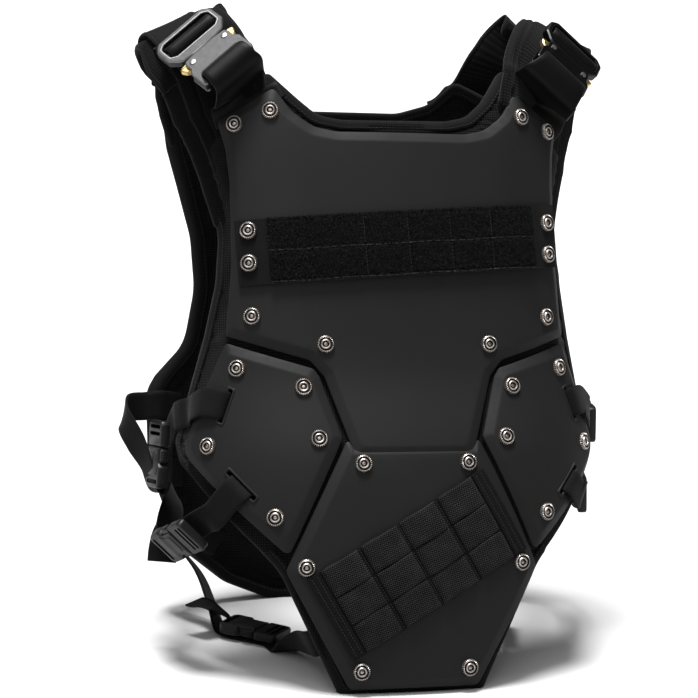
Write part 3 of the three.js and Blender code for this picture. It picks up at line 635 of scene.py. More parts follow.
def make_camera():
    data = bpy.data.cameras.new("camera")
    data.sensor_width = SENSOR
    data.lens = FOCAL_PX / PHOTO_SIDE * SENSOR
    data.clip_end = 50
    data.shift_x = (PHOTO_SIDE / 2 - PHOTO_CENTRE[0]) / PHOTO_SIDE
    data.shift_y = (PHOTO_CENTRE[1] - PHOTO_SIDE / 2) / PHOTO_SIDE
    camera = bpy.data.objects.new("camera", data)
    bpy.context.scene.collection.objects.link(camera)
    axes = [turned(a) for a in (RIGHT, UP, BACKWARD)]
    matrix = Matrix([[*(float(a[i]) for a in axes), 0.0] for i in range(3)] + [[0, 0, 0, 1]])
    matrix.translation = Vector(placed(EYE))
    camera.matrix_world = matrix
    bpy.context.scene.camera = camera


def sun_light(name, towards, strength, spread):
    data = bpy.data.lights.new(name, "SUN")
    data.energy = strength
    data.angle = math.radians(spread)
    lamp = bpy.data.objects.new(name, data)
    bpy.context.scene.collection.objects.link(lamp)
    lamp.rotation_euler = (-Vector(towards)).to_track_quat("-Z", "Y").to_euler()


def make_studio():
    scene = bpy.context.scene
    scene.view_settings.view_transform = "Standard"
    world = bpy.data.worlds.new("studio")
    world.use_nodes = True
    sky = world.node_tree.nodes["Background"]
    sky.inputs["Color"].default_value = (1, 1, 1, 1)
    sky.inputs["Strength"].default_value = SKY
    scene.world = world
    bm = bmesh.new()
    bmesh.ops.create_grid(bm, x_segments=2, y_segments=2, size=FLOOR_HALF)
    mesh = bpy.data.meshes.new("floor")
    bm.to_mesh(mesh)
    bm.free()
    floor = bpy.data.objects.new("floor", mesh)
    scene.collection.objects.link(floor)
    paper = Nodes("paper", (PAPER,) * 3, 0.95, specular=0.05)
    mesh.materials.append(paper.material)
    for sun in SUNS:
        sun_light(*sun)


make_camera()
make_studio()


# Shared makers
def joined(*parts):
    """One set of points, faces and flat coordinates from several."""
    points, faces, uvs = [], [], []
    start = 0
    for p, f, uv in parts:
        points.append(p)
        uvs.append(uv)
        faces.extend(tuple(i + start for i in face) for face in f)
        start += len(p)
    return np.vstack(points), faces, np.vstack(uvs)


def slab(us, vs, top, bottom):
    """Closed slab over a grid: flat points (u, v, n) and faces. Top is a function of u and v."""
    u, v = np.meshgrid(us, vs, indexing="ij")
    high = top(u, v)
    low = np.full_like(high, bottom)
    points = np.vstack([np.stack((u, v, n), axis=-1).reshape(-1, 3) for n in (high, low)])
    rows, columns = u.shape
    lift = rows * columns
    faces = []
    for i in range(rows - 1):
        for j in range(columns - 1):
            a = i * columns + j
            quad = (a, a + columns, a + columns + 1, a + 1)
            faces.append(quad)
            faces.append(tuple(k + lift for k in reversed(quad)))
    rim = [i * columns for i in range(rows)]
    rim += [(rows - 1) * columns + j for j in range(1, columns)]
    rim += [i * columns + columns - 1 for i in range(rows - 2, -1, -1)]
    rim += list(range(columns - 2, 0, -1))
    for a, b in zip(rim, rim[1:] + rim[:1]):
        faces.append((b, a, a + lift, b + lift))
    return points, faces


class Field:
    """Turned rectangle on the front: local (u, v, n) onto the surface."""

    def __init__(self, middle, degrees):
        self.middle = middle
        self.turn = math.radians(degrees)

    def flat(self, u, v):
        c, s = math.cos(self.turn), math.sin(self.turn)
        return self.middle[0] + u * c - v * s, self.middle[1] + u * s + v * c

    def on(self, points):
        x, z = self.flat(points[:, 0], points[:, 1])
        return front(x, z, points[:, 2])

    def slab(self, us, vs, top, bottom):
        """Slab laid on the field, as a shape."""
        points, faces = slab(us, vs, top, bottom)
        return self.on(points), faces, points[:, :2] * MM

    def sewn(self, u, v, n, **settings):
        """Row of stitches through local points."""
        path = np.stack(np.broadcast_arrays(u, v, n), axis=-1)
        return stitches(self.on(path), front_out(*self.flat(path[:, 0], path[:, 1])), **settings)


# Along a stitch: the share of its length, and of its radius
STITCH_STATIONS = ((0.0, 0.25), (0.06, 0.75), (0.25, 1.0), (0.5, 1.0), (0.75, 1.0), (0.94, 0.75), (1.0, 0.25))


def capsule(a, b, radius, arch, out, sides=6):
    """Stitch from a to b, bowed outwards."""
    run = b - a
    across = unit(np.cross(run, out))
    up = unit(np.cross(across, run))
    points = []
    for t, share in STITCH_STATIONS:
        middle = a + run * t + up * arch * math.sin(math.pi * t)
        for k in range(sides):
            angle = 2 * math.pi * k / sides
            points.append(middle + (across * math.cos(angle) + up * math.sin(angle)) * radius * share)
    return np.array(points), tube_faces(len(STITCH_STATIONS), sides), np.zeros((len(points), 2))


def stitches(path, out, pitch=3.2, share=0.68, radius=0.28, arch=0.2):
    """Row of stitches along a path of points, with the outward direction at each."""
    path = np.asarray(path, float)
    out = np.asarray(out, float)
    length = way_along(path)
    count = max(1, int(length[-1] / pitch))

    def at(values, where):
        return np.array([np.interp(where, length, values[:, k]) for k in range(3)])

    parts = []
    for i in range(count):
        begin = (i + (1 - share) / 2) * length[-1] / count
        end = begin + share * length[-1] / count
        parts.append(capsule(at(path, begin), at(path, end), radius, arch, at(out, (begin + end) / 2)))
    return parts


def front_out(s, z):
    return front(s, z, 1.0) - front(s, z, 0.0)


# Moulded foam plates
PLATE_LAYERS = (
    (-6.0, 0.3), (-5.6, 0.0), (-3.9, 0.0), (-3.45, 0.25), (-3.1, 0.8), (-0.55, 7.0), (-0.18, 7.9), (0.0, 9.2),
)
BELLY_FACE = -1.0
CHEST = (
    (57, 472), (77, 476), (95, 489), (110, 510), (163, 481), (156, 458),
    (153, 430), (153, 360), (160, 298), (86, 277), (74, 263), (51.8, 195.2),
)
CHEST_RADII = (40, 30, 30, 5, 6, 30, 60, 60, 4, 9, 9, 5)
FLANK = ((160, 292), (83, 270), (78, 263), (62, 212), (110, 113), (212, 200))
FLANK_RADII = (5, 6, 6, 5, 6, 14)
BELLY = ((51.6, 206), (58.4, 210.5), (113, 101), (57, 0))
BELLY_RADII = (3, 4, 8, 8)
UPPER_SLOT = {"middle": (161, 238.5), "turn": -66, "long": 31, "wide": 4.8}
LOWER_SLOT = {"middle": (150, 172.5), "turn": 44, "long": 34, "wide": 4.8}
SLOT_RADIUS = 2.2
RIM_SECTION = (
    (0.35, -5.0), (0.35, 0.3), (0.0, 0.8), (-0.5, 1.0), (-1.0, 0.9), (-1.45, 0.45), (-1.75, -0.1),
    (-1.75, -0.6),
)


def slot_outline(slot):
    box = turned_box(slot["middle"], slot["long"], slot["wide"], slot["turn"])
    return counter_clockwise(box)[0]


def flipped(points):
    return [(-x, y) for x, y in points]


def plate(name, corners, radii, face=0.0, slots=()):
    layers = [(n + face, inward) for n, inward in PLATE_LAYERS]
    outlines = [slot_outline(s) for s in slots]
    if min(x for x, _ in corners) > 0 and name.endswith("left"):
        corners = flipped(corners)
        outlines = [counter_clockwise(flipped(o))[0] for o in outlines]
    holes = [rounded(o, SLOT_RADIUS, 6) for o in outlines]
    points, faces, _ = flat_solid(corners, radii, layers, holes, step=6)
    parts = [(points, faces, points[:, :2] * MM)]
    for outline in outlines:
        ring, ring_faces = edge_band(outline, [SLOT_RADIUS] * 4, RIM_SECTION, 6)
        parts.append((ring + (0, 0, face), ring_faces, ring[:, :2] * MM))
    points, faces, uvs = joined(*parts)
    made(name, (front(*points.T), faces, uvs), 30, FOAM, "foam", name, outward=True)


plate("chest_plate", *symmetric(CHEST, CHEST_RADII))
for side in SIDES:
    plate("flank_plate_" + side, FLANK, FLANK_RADII, 0.0, (UPPER_SLOT, LOWER_SLOT))
plate("belly_plate", *symmetric(BELLY, BELLY_RADII), BELLY_FACE)


# Ring snaps
LOOP_FACE = 3.1
SNAP_TEETH = 26
SNAP_PROFILE = (
    (7.45, -1.0, 0), (7.5, 0.5, 1), (7.15, 1.35, 1), (6.55, 1.75, 1), (5.95, 1.6, 0), (5.55, 1.0, 0),
    (5.3, 0.45, 0), (4.5, 0.45, 0), (4.3, 1.3, 0), (3.9, 1.95, 0), (3.45, 2.15, 0), (2.95, 2.0, 0),
    (2.65, 1.4, 0), (2.5, 0.3, 0), (1.7, 0.25, 0), (1.45, 0.8, 0), (0.9, 1.0, 0),
)
SNAP_TIP = 1.05
TOOTH_WAVE = (0, 1, 1, 0)
TOOTH_CUT = {"rim": 0.7, "side": 0.12, "top": 0.55}
# Profile rings in the grooves, whose faces take the painted shade
SNAP_SHADED_RINGS = (4, 5, 6, 12, 13)
SNAP_TOOTH_RINGS = (0, 1, 2)
SNAPS = (
    (145, 478, 0), (113.5, 489, 0), (135, 391, LOOP_FACE), (135, 363.5, LOOP_FACE), (134, 314, 0),
    (72.5, 290, 0), (148.5, 270, 0), (92.5, 254, 0), (82.5, 211, 0), (180, 205, 0), (121, 146, 0),
    (46, 190, BELLY_FACE), (95, 104, BELLY_FACE), (47.5, 16, BELLY_FACE),
)
LOOP_SNAP_RISE = 5


def snap_mesh():
    around = SNAP_TEETH * 4
    points = []
    for r, h, tooth in SNAP_PROFILE:
        for k in range(around):
            angle = 2 * math.pi * k / around
            wave = TOOTH_WAVE[k % 4] * tooth
            reach = r - TOOTH_CUT["rim"] * wave * (r > 7) - TOOTH_CUT["side"] * wave
            points.append((reach * math.cos(angle), reach * math.sin(angle), h - TOOTH_CUT["top"] * wave))
    points.append((0, 0, SNAP_TIP))
    rows = len(SNAP_PROFILE)
    *faces, top = tube_faces(rows, around)
    faces += [(a, b, len(points) - 1) for a, b in zip(top, top[1:] + top[:1])]
    # Groove faces and tooth gaps are darkened, a painted shade in the recesses
    dark = [
        i in SNAP_SHADED_RINGS or (i in SNAP_TOOTH_RINGS and k % 4 == 1)
        for i in range(rows - 1) for k in range(around)
    ]
    dark += [True] + [False] * around
    mesh = finish_mesh("ring_snap", np.array(points) * MM, faces, None, 40)
    mesh.materials.append(PEWTER)
    mesh.materials.append(SHADED_PEWTER)
    mesh.polygons.foreach_set("material_index", [int(d) for d in dark])
    return mesh


def surface_matrix(s, z, n, spin):
    """Placing of a small part on the front, turned about its axis."""
    out = unit(turned(front_out(s, z)))
    across = turned(front_way(s, z, math.cos(spin), math.sin(spin)))
    across = unit(across - out * (across @ out))
    up = np.cross(out, across)
    matrix = Matrix([[float(a[i]) for a in (across, up, out)] + [0.0] for i in range(3)] + [[0, 0, 0, 1]])
    matrix.translation = Vector(placed(front(s, z, n)))
    return matrix


SNAP_MESH = snap_mesh()
for sign, first in ((-1, 1), (1, 15)):
    for i, (s, z, on) in enumerate(SNAPS):
        rise = sign * LOOP_SNAP_RISE if on == LOOP_FACE else 0
        name = f"snap_{first + i:02d}"
        snap = bpy.data.objects.new(name + "_ring", SNAP_MESH)
        bpy.context.scene.collection.objects.link(snap)
        snap.matrix_world = surface_matrix(sign * s, z + rise, on + 1.0, dice.uniform(0, 6.28))
        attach(snap, BODY)
        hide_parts(name)


# Loop panel across the chest: woven base, two rows of loop tape, fibres
LOOP = Field((0, 376), 3.6)
LOOP_SIZE = (292, 55)
TAPE_SPAN = (-118.5, 118.5)
TAPE_ROWS = (13.2, -13.2)
TAPE_HALF = 12.4
TAPE_CHANNELS = (-37, 1, 39, 77)
CHANNEL_WIDE, CHANNEL_PULL, CHANNEL_HALF = 1.5, 0.72, 11.5
TAPE_RISE, PILE_RISE = 0.35, 1.15
LOOP_SEAMS = (0.0, -26.4)
LOOP_SEAM_HALF = 119
LOOP_SEAM = {"pitch": 7.5, "share": 0.9, "radius": 0.42}
FIBRES = 15000
FIBRE = {
    "lean": (0.5, 1.6), "tall": (0.35, 1.25), "half": (0.08, 0.2), "spill": (0.5, 2.2),
    "at_edge": 0.3, "edge_band": 0.8, "kept_off_channels": 0.8, "channel_half": 1.3,
}


def ripple(u, v, seed):
    """Small smooth unevenness."""
    return (
        np.sin(u * 0.31 + seed) * np.sin(v * 0.43 + 1.7 * seed)
        + 0.6 * np.sin(u * 0.83 + 2.1 * seed) * np.sin(v * 0.71 + seed)
    )


def groove(u, lines, width):
    return sum(np.exp(-(((u - line) / width) ** 2)) for line in lines)


def tape_top(u, v):
    edge = np.clip((TAPE_HALF - np.abs(v)) / 2.0, 0, 1) ** 0.5
    pull = np.clip(groove(u, TAPE_CHANNELS, CHANNEL_WIDE), 0, 1)
    pile = PILE_RISE * edge * (1 - CHANNEL_PULL * pull) + 0.16 * ripple(u, v, 1.0) * edge
    return LOOP_FACE + TAPE_RISE + pile


def loop_base_top(u, v):
    seam = groove(v, (0.0,), 0.9) * (np.abs(u) < 120)
    turn_in = groove(np.abs(u), (121.5,), 1.0)
    return LOOP_FACE - 0.1 - 0.45 * seam - 0.4 * turn_in


def fibre_strips(field, rows, count):
    """Curled loops of pile, each a bent ribbon of two faces."""
    points, faces = [], []
    for _ in range(count):
        row = dice.choice(rows)
        u = dice.uniform(*TAPE_SPAN)
        v = dice.uniform(-TAPE_HALF, TAPE_HALF)
        if dice.random() < FIBRE["at_edge"]:
            v = math.copysign(TAPE_HALF - dice.uniform(0, 0.7), v)
        near = any(abs(u - c) < FIBRE["channel_half"] for c in TAPE_CHANNELS)
        if near and dice.random() < FIBRE["kept_off_channels"]:
            continue
        base = float(tape_top(np.array(u), np.array(v)))
        angle = dice.uniform(0, 2 * math.pi)
        lean, tall, half = (dice.uniform(*FIBRE[key]) for key in ("lean", "tall", "half"))
        du, dv = math.cos(angle), math.sin(angle)
        outside = v * row > 0 and abs(v) > TAPE_HALF - FIBRE["edge_band"]
        spill = dice.uniform(*FIBRE["spill"]) if outside else 0.0
        start = len(points)
        for reach, h in ((0, -0.2), (0.5, 0.75), (1.0, 1.0)):
            cu = u + du * lean * reach
            cv = row + v + (dv * lean + math.copysign(spill, v)) * reach
            points.append((cu - dv * half, cv + du * half, base + tall * h))
            points.append((cu + dv * half, cv - du * half, base + tall * h))
        faces.append((start, start + 1, start + 3, start + 2))
        faces.append((start + 2, start + 3, start + 5, start + 4))
    return field.on(np.array(points)), faces


def make_loop_panel():
    us = np.linspace(-LOOP_SIZE[0] / 2, LOOP_SIZE[0] / 2, 147)
    vs = np.linspace(-LOOP_SIZE[1] / 2, LOOP_SIZE[1] / 2, 56)
    made("loop_base", LOOP.slab(us, vs, loop_base_top, 0.15), 40, WEBBING, "loop_tape", "loop_panel")
    vs = np.linspace(-TAPE_HALF, TAPE_HALF, 19)
    us = np.linspace(*TAPE_SPAN, 200)
    for i, row in enumerate(TAPE_ROWS):
        shape = LOOP.slab(us, row + vs, lambda u, v: tape_top(u, v - row), LOOP_FACE - 0.3)
        made(f"loop_tape_{i + 1}", shape, 50, FUZZ, "loop_tape")
        made(f"loop_pile_{i + 1}", (*fibre_strips(LOOP, (row,), FIBRES), None), None, FIBRE_FUZZ, "loop_tape")
    us = np.linspace(-LOOP_SEAM_HALF, LOOP_SEAM_HALF, 60)
    parts = []
    for v in LOOP_SEAMS:
        parts += LOOP.sewn(us, v + 0.3 * np.sin(us * 0.09), LOOP_FACE + 0.9, **LOOP_SEAM)
    made("loop_stitches", joined(*parts), None, PALE_THREAD, "loop_tape")
    vs = np.linspace(-CHANNEL_HALF, CHANNEL_HALF, 14)
    parts = []
    for c in TAPE_CHANNELS:
        for row in TAPE_ROWS:
            parts += LOOP.sewn(c, row + vs, tape_top(c, vs) + 0.05, pitch=2.6)
    made("loop_channel_stitches", joined(*parts), None, BLACK_THREAD, "loop_tape")


make_loop_panel()


# Sewn webbing field across the belly
GRID = Field((1.5, 104.9), 30.5)
GRID_SIZE = (178, 80)
GRID_FACE = BELLY_FACE + 1.1
CELL_WIDE = 38.5
GRID_COLUMNS = tuple(CELL_WIDE * k for k in range(-2, 3))
GRID_ROWS = (26.7, 0, -26.7)
ROW_HALF = 13.0
ROW_REACH = 79.5
GRID_SEAM_SHADE_HALF = 1.6
GRID_END, GRID_END_HALF = 83, 6
GRID_END_SEAMS = (80, 85)


def grid_row_top(row):
    def top(u, v):
        pull = np.clip(groove(u, GRID_COLUMNS, 2.3), 0, 1)
        edge = np.clip((ROW_HALF - np.abs(v)) / 1.2, 0, 1) ** 0.5
        cells = (u - GRID_COLUMNS[0]) / CELL_WIDE
        belly = np.clip(1 - ((np.mod(cells, 1) - 0.5) * 2) ** 4, 0, 1)
        cell = np.floor(cells)
        tilt = 0.35 * np.sin(cell * 2.4 + row * 0.21) * v / ROW_HALF
        return GRID_FACE + 1.0 + 0.7 * edge + (1.3 * belly + tilt) * (1 - pull) - 1.0 * pull

    return top


def grid_end_top(u, v):
    return GRID_FACE + 1.9 - 0.3 * groove(np.abs(u), GRID_END_SEAMS, 0.7) + 0.08 * ripple(u, v, 2.0)


def make_grid():
    half_u, half_v = GRID_SIZE[0] / 2, GRID_SIZE[1] / 2
    us = np.linspace(-half_u, half_u, 90)
    vs = np.linspace(-half_v, half_v, 41)
    base = GRID.slab(us, vs, lambda u, v: np.full_like(u, GRID_FACE + 0.6), BELLY_FACE + 0.15)
    made("grid_base", base, 40, WEBBING, "webbing", "webbing_grid")
    us = np.linspace(-ROW_REACH, ROW_REACH, 160)
    vs = np.linspace(-ROW_HALF, ROW_HALF, 23)
    for i, row in enumerate(GRID_ROWS):
        points, faces = slab(us, vs, grid_row_top(row), GRID_FACE + 0.2)
        wave = 0.35 * np.sin(points[:, 0] * 0.163 + i * 2.1)
        points[:, 1] += row + wave
        shape = (GRID.on(points), faces, points[:, 1::-1] * MM)
        cloth = made(f"grid_row_{i + 1}", shape, 50, FIELD_WEBBING, "webbing")
        # Faces along the sewn columns take the darker webbing, a painted shade in the grooves
        cloth.data.materials.append(SEAM_SHADE_WEBBING)
        middles = [np.mean(points[list(face), 0]) for face in faces]
        sewn = [min(abs(u - c) for c in GRID_COLUMNS) < GRID_SEAM_SHADE_HALF for u in middles]
        cloth.data.polygons.foreach_set("material_index", [int(s) for s in sewn])
    parts, columns = [], []
    for end in (-1, 1):
        us = np.linspace(end * GRID_END - GRID_END_HALF, end * GRID_END + GRID_END_HALF, 13)
        vs = np.linspace(-half_v + 0.3, half_v - 0.3, 60)
        parts.append(GRID.slab(us, vs, grid_end_top, GRID_FACE + 0.2))
        vs = np.linspace(-half_v + 2, half_v - 2, 40)
        for u in GRID_END_SEAMS:
            columns += GRID.sewn(end * u, vs, GRID_FACE + 1.75, pitch=2.8)
    made("grid_ends", joined(*parts), 40, WEBBING, "webbing")
    vs = np.linspace(-12, 12, 12)
    for row in GRID_ROWS:
        for u in GRID_COLUMNS[1:-1]:
            columns += GRID.sewn(u, row + vs, grid_row_top(row)(u, vs) + 0.1, pitch=2.4)
    made("grid_stitches", joined(*columns), None, THREAD, "webbing")


make_grid()


# Padded panels
FRONT_SIDE = (
    (204, 467), (185, 424), (172, 388), (173, 345), (188, 296), (232, 208), (226, 191), (120, 102),
    (63, -8),
)
FRONT_SIDE_RADII = (10, 60, 60, 60, 40, 10, 10, 60, 10)
FRONT_NECK = {
    "right": ((45, 485), (65, 489.5), (83, 505), (106, 536)),
    "left": ((50, 484), (72, 488), (91, 504), (115, 527)),
}
FRONT_NECK_RADII = (40, 30, 40, 6)
BACK_PANEL = (
    (46, 507), (76, 515), (98, 535), (200, 491), (193, 468), (176, 436), (156, 392), (149, 345),
    (160, 294), (200, 266), (214, 252), (208, 187), (160, 108), (108, 74), (60, 56),
)
BACK_PANEL_RADII = (40, 30, 10, 8, 40, 60, 60, 60, 40, 20, 20, 60, 60, 60, 60)
FRONT_PANEL_N = (-21.8, -10.8)
BACK_PANEL_N = (-11.0, 0.0)
BINDING_WIDE = 8.5
BORDER_STEP = 3.6
BORDER_SEAMS, BORDER_SEAM_HALF, BORDER_SEAM_DEEP = (10.0, 18.5), 1.25, 1.7
PANEL_CROWN = 3.7
QUILT_DEEP = 1.6
# How far a panel's face and the levels below it stand in from its rim
PANEL_ROUNDING = ((0.0, 3.2), (0.9, 1.4), (2.4, 0.3))


def smooth_step(value, low, high):
    t = np.clip((value - low) / (high - low), 0, 1)
    return t * t * (3 - 2 * t)


def binding_section(low, high):
    """Bias tape folded over a panel's rim: (inward, n) points."""
    wide = BINDING_WIDE
    return (
        (wide, high - 0.6), (wide - 0.3, high + 0.75), (wide - 1.4, high + 0.95), (4.2, high + 1.1),
        (1.8, high + 0.75), (0.2, high - 0.5), (-0.7, high - 2.4), (-0.9, (low + high) / 2),
        (-0.7, low + 2.4), (0.2, low + 0.5), (1.8, low - 0.75), (4.2, low - 1.1),
        (wide - 1.4, low - 0.95), (wide - 0.3, low - 0.75), (wide, low + 0.6),
    )


def band_uvs(points, section_count):
    """Flat coordinates of a band: the way along the rim, and across the tape."""
    rings = points.reshape(section_count, -1, 3)
    way = way_along(rings[section_count // 2])
    across = way_along(rings[:, 0])
    return np.stack(np.meshgrid(across, way, indexing="ij"), axis=-1).reshape(-1, 2) * MM


def arm_step(x, z):
    """Share of the lower border layer, along the armholes."""
    return smooth_step(np.abs(x), 148, 166) * smooth_step(z, 350, 385)


def padded_panel(name, corners, radii, span, place, seams, fill, step_share=lambda x, _: np.zeros_like(x)):
    """Padded panel with a sewn border, quilted lines and a bound edge."""
    low, high = span
    middle = (low + high) / 2
    layers = (
        *((low + deep, inward) for deep, inward in PANEL_ROUNDING), (middle, 0.0),
        *((high - deep, inward) for deep, inward in reversed(PANEL_ROUNDING)),
    )
    points, faces, rim = flat_solid(corners, radii, layers, step=5.5, arc=9)
    distance = rim_distance(points[:, :2], rim)
    border = groove(distance, BORDER_SEAMS, BORDER_SEAM_HALF)
    lift = PANEL_CROWN * smooth_step(distance, 8, 30) - BORDER_SEAM_DEEP * border
    for line in seams:
        lift -= QUILT_DEEP * line(points[:, 0], points[:, 1]) * smooth_step(distance, 14, 26)
    lift += 0.35 * ripple(points[:, 0] * 0.22, points[:, 1] * 0.2, 3.0) * smooth_step(distance, 6, 22)
    side = np.clip((points[:, 2] - middle) / (high - middle), -1, 1)
    points[:, 2] += lift * np.where(np.abs(side) > 0.98, np.sign(side), 0)
    lower = step_share(points[:, 0], points[:, 1]) * (1 - smooth_step(distance, 14.5, 17.5))
    points[:, 2] -= BORDER_STEP * lower * (side > 0.3)
    shape = (place(*points.T), faces, points[:, :2] * MM)
    made(name + "_pad", shape, None, MESH, "mesh_cloth", name)
    section = binding_section(low, high)
    ring, ring_faces = edge_band(corners, radii, section, 9)
    ring[:, 2] -= BORDER_STEP * step_share(ring[:, 0], ring[:, 1]) * (ring[:, 2] > middle)
    shape = (place(*ring.T), ring_faces, band_uvs(ring, len(section)))
    made(name + "_binding", shape, 60, BINDING, "mesh_cloth", outward=True)
    ccw, ccw_radii = counter_clockwise(corners, radii)
    sewn = rounded(inset(ccw, BINDING_WIDE - 1.9), ccw_radii, 9)
    sewn = np.vstack((sewn, sewn[:1]))
    parts = []
    for n, way in ((high + 1.0, 1.0), (low - 1.0, -1.0)):
        level = n - BORDER_STEP * step_share(sewn[:, 0], sewn[:, 1]) * (way > 0)
        path = place(sewn[:, 0], sewn[:, 1], level)
        out = path - place(sewn[:, 0], sewn[:, 1], level - way)
        parts += stitches(path, out, 3.6)
    made(name + "_stitches", joined(*parts), None, THREAD, "mesh_cloth")


def upright_seam(x, width=1.4):
    return lambda u, v: np.exp(-((np.abs(u) - x) / width) ** 2)


def level_seam(z, width=1.4):
    return lambda u, v: np.exp(-((v - z) / width) ** 2)


FRONT_PANEL = (
    *FRONT_NECK["right"], *FRONT_SIDE,
    *((-x, z) for x, z in FRONT_SIDE[::-1]), *((-x, z) for x, z in FRONT_NECK["left"][::-1]),
)
FRONT_PANEL_RADII = (
    *FRONT_NECK_RADII, *FRONT_SIDE_RADII, *FRONT_SIDE_RADII[::-1], *FRONT_NECK_RADII[::-1],
)
padded_panel(
    "front_panel", FRONT_PANEL, FRONT_PANEL_RADII, FRONT_PANEL_N, front,
    (upright_seam(62), level_seam(330), level_seam(170)), 0.75, arm_step,
)
padded_panel(
    "back_panel", *symmetric(BACK_PANEL, BACK_PANEL_RADII), BACK_PANEL_N, back,
    (upright_seam(58), level_seam(400), level_seam(230)), 0.75,
)


# Padded shoulder straps with webbing sewn along the top
PAD_WAY = front_way(150, 470, 0.93, -0.37)
SHOULDER_ROWS = (
    *run_of(
        PAD_WAY, front(160, 392, -17.5), front(156, 420, -16.5), front(153, 446, -16), front(152, 470, -16),
        front(153, 494, -14.2),
    ),
    ((146, 66.5, 518), (0.79, 0.42, -0.45)),
    ((153, 71, 537), (0.8, 0.28, -0.53)),
    ((168, 87, 556), (0.82, 0.1, -0.56)),
    ((177, 109, 567), (0.88, 0, -0.46)),
    ((178, 130, 559), (0.92, -0.15, -0.35)),
    (back(176, 540, -5.5), (0.85, -0.42, -0.3)),
    *run_of((0.82, -0.48, -0.29), back(176, 517, -5.5), back(176, 500, -5.5), back(174, 474, -5.5)),
)
# At each row: the pad's reach to the neck and to the arm, and how far it curls back on each side
PAD_TO_NECK = {
    "left": (18, 22, 24, 30, 34, 37, 32, 38, 40, 55, 61, 76, 90, 86),
    "right": (20, 26, 32, 34, 54, 52, 47, 44, 40, 55, 61, 82, 98, 90),
}
PAD_TO_ARM = {
    "left": (14, 26, 36, 45, 53, 54, 54, 50, 40, 35, 44, 37, 30, 18),
    "right": (12, 22, 33, 40, 47, 45, 43, 37, 32, 34, 44, 37, 30, 18),
}
PAD_CURL = (0, -0.8, -1.1, -1.1, -0.6, 0.6, 1.8, 2.0, 1.2, 0.4, 0, 0, 0, 0)
PAD_NECK_CURL = (0, 0, 0, 0, 0, 0, 6, 12, 12, 6, 0, 0, 0, 0)
PAD_FLAT_HALF = 20.0
# The binding at the neck comes out of the pad between these rows
NECK_BINDING_RISES = (4.2, 5.0)
NECK_BINDING_TUCK = 9.0
PAD_THICK = 12
PAD_STEPS = 9
PAD_COLUMNS = 70
PAD_LAYER = {"wide": 17.0, "drop": 3.2}
PAD_SEAM = {"from_neck": 9.5, "from_arm": 30, "half": 1.3, "deep": 1.4}
PAD_EDGE = {"inset": 2.6, "radius": 3.4, "neck_high": 4.8, "arm_high": 3.6, "arm_drop": 1.4, "sides": 14}
SHOULDER_WEBBING = {"wide": 48, "thick": 2.4}
WEBBING_OFFSET = 5.5
WEBBING_FROM = 7


def pad_reach(ring, side):
    rows = range(len(PAD_CURL))
    tables = (PAD_TO_NECK[side], PAD_TO_ARM[side], PAD_CURL, PAD_NECK_CURL)
    return [float(np.interp(ring / PAD_STEPS, rows, t)) for t in tables]


def pad_bend(x, curl, neck_curl):
    to_neck = max(0.0, -x - PAD_FLAT_HALF)
    return -MM * (curl * max(0.0, x) ** 2 + neck_curl * to_neck ** 2)


def pad_section(ring, side):
    """Pad across the shoulder: bound at the neck, with a lower layer along the arm."""
    inner, outer, *curls = pad_reach(ring, side)
    thick = PAD_THICK / 2
    middle, half = (outer - inner) / 2, (outer + inner) / 2
    top, low = [], []
    seams = (PAD_SEAM["from_neck"] - inner, outer - PAD_SEAM["from_arm"])
    layer = outer - PAD_LAYER["wide"]
    for i in range(PAD_COLUMNS + 1):
        x = middle - half + 2 * half * i / PAD_COLUMNS
        round_off = max(0.0, 1 - abs((x - middle) / half) ** 9) ** 0.5
        sewn = PAD_SEAM["deep"] * groove(x, seams, PAD_SEAM["half"])
        step = PAD_LAYER["drop"] * float(smooth_step(x, layer - 1.5, layer + 1.5))
        bend = pad_bend(x, *curls)
        top.append((x, (thick - step) * round_off - sewn + bend))
        low.append((x, -thick * round_off + bend))
    return (top + low[-2:0:-1])[::-1]


def edge_section(ring, side, sign):
    """Bias tape over one edge of the pad."""
    inner, outer, *curls = pad_reach(ring, side)
    tucked = 1 - float(smooth_step(ring / PAD_STEPS, *NECK_BINDING_RISES))
    edge = PAD_EDGE
    if sign > 0:
        x, high, drop = outer - edge["inset"], edge["arm_high"], edge["arm_drop"]
    else:
        x, high, drop = edge["inset"] - inner + NECK_BINDING_TUCK * tucked, edge["neck_high"], 0.0
    level = pad_bend(x, *curls) - drop
    angles = [2 * math.pi * k / edge["sides"] for k in range(edge["sides"])]
    return [(x + edge["radius"] * math.cos(a), high * math.sin(a) + level) for a in angles][::-1]


def shoulder(side):
    mirror = side == "left"
    strap = Strap(SHOULDER_ROWS, PAD_STEPS)
    shape = strap.solid(lambda i: pad_section(i, side), mirror)
    pad = made("shoulder_pad_" + side, shape, None, PAD_MESH, "mesh_cloth", "shoulder_strap_" + side)
    edges = [strap.solid(lambda i, s=s: edge_section(i, side, s), mirror) for s in (-1, 1)]
    made("shoulder_binding_" + side, joined(*edges), None, BINDING, "mesh_cloth")
    upper = Strap(SHOULDER_ROWS[WEBBING_FROM:-3], PAD_STEPS)
    rise = PAD_THICK / 2 + 1.0
    lifted = [(x + WEBBING_OFFSET, h + rise) for x, h in tape_section(**SHOULDER_WEBBING)]
    made("shoulder_webbing_" + side, upper.solid(lifted, mirror), 60, WEBBING, "webbing")
    parts = []
    flip = MIRROR if mirror else 1
    for x in (-21.5, 21.5):
        path = upper.centre + upper.wide * (x + WEBBING_OFFSET) + upper.normal * (rise + 1.25)
        parts += stitches(path * flip, upper.normal * flip, 3.4)
    made("shoulder_stitches_" + side, joined(*parts), None, THREAD, "webbing")


for side in SIDES:
    shoulder(side)


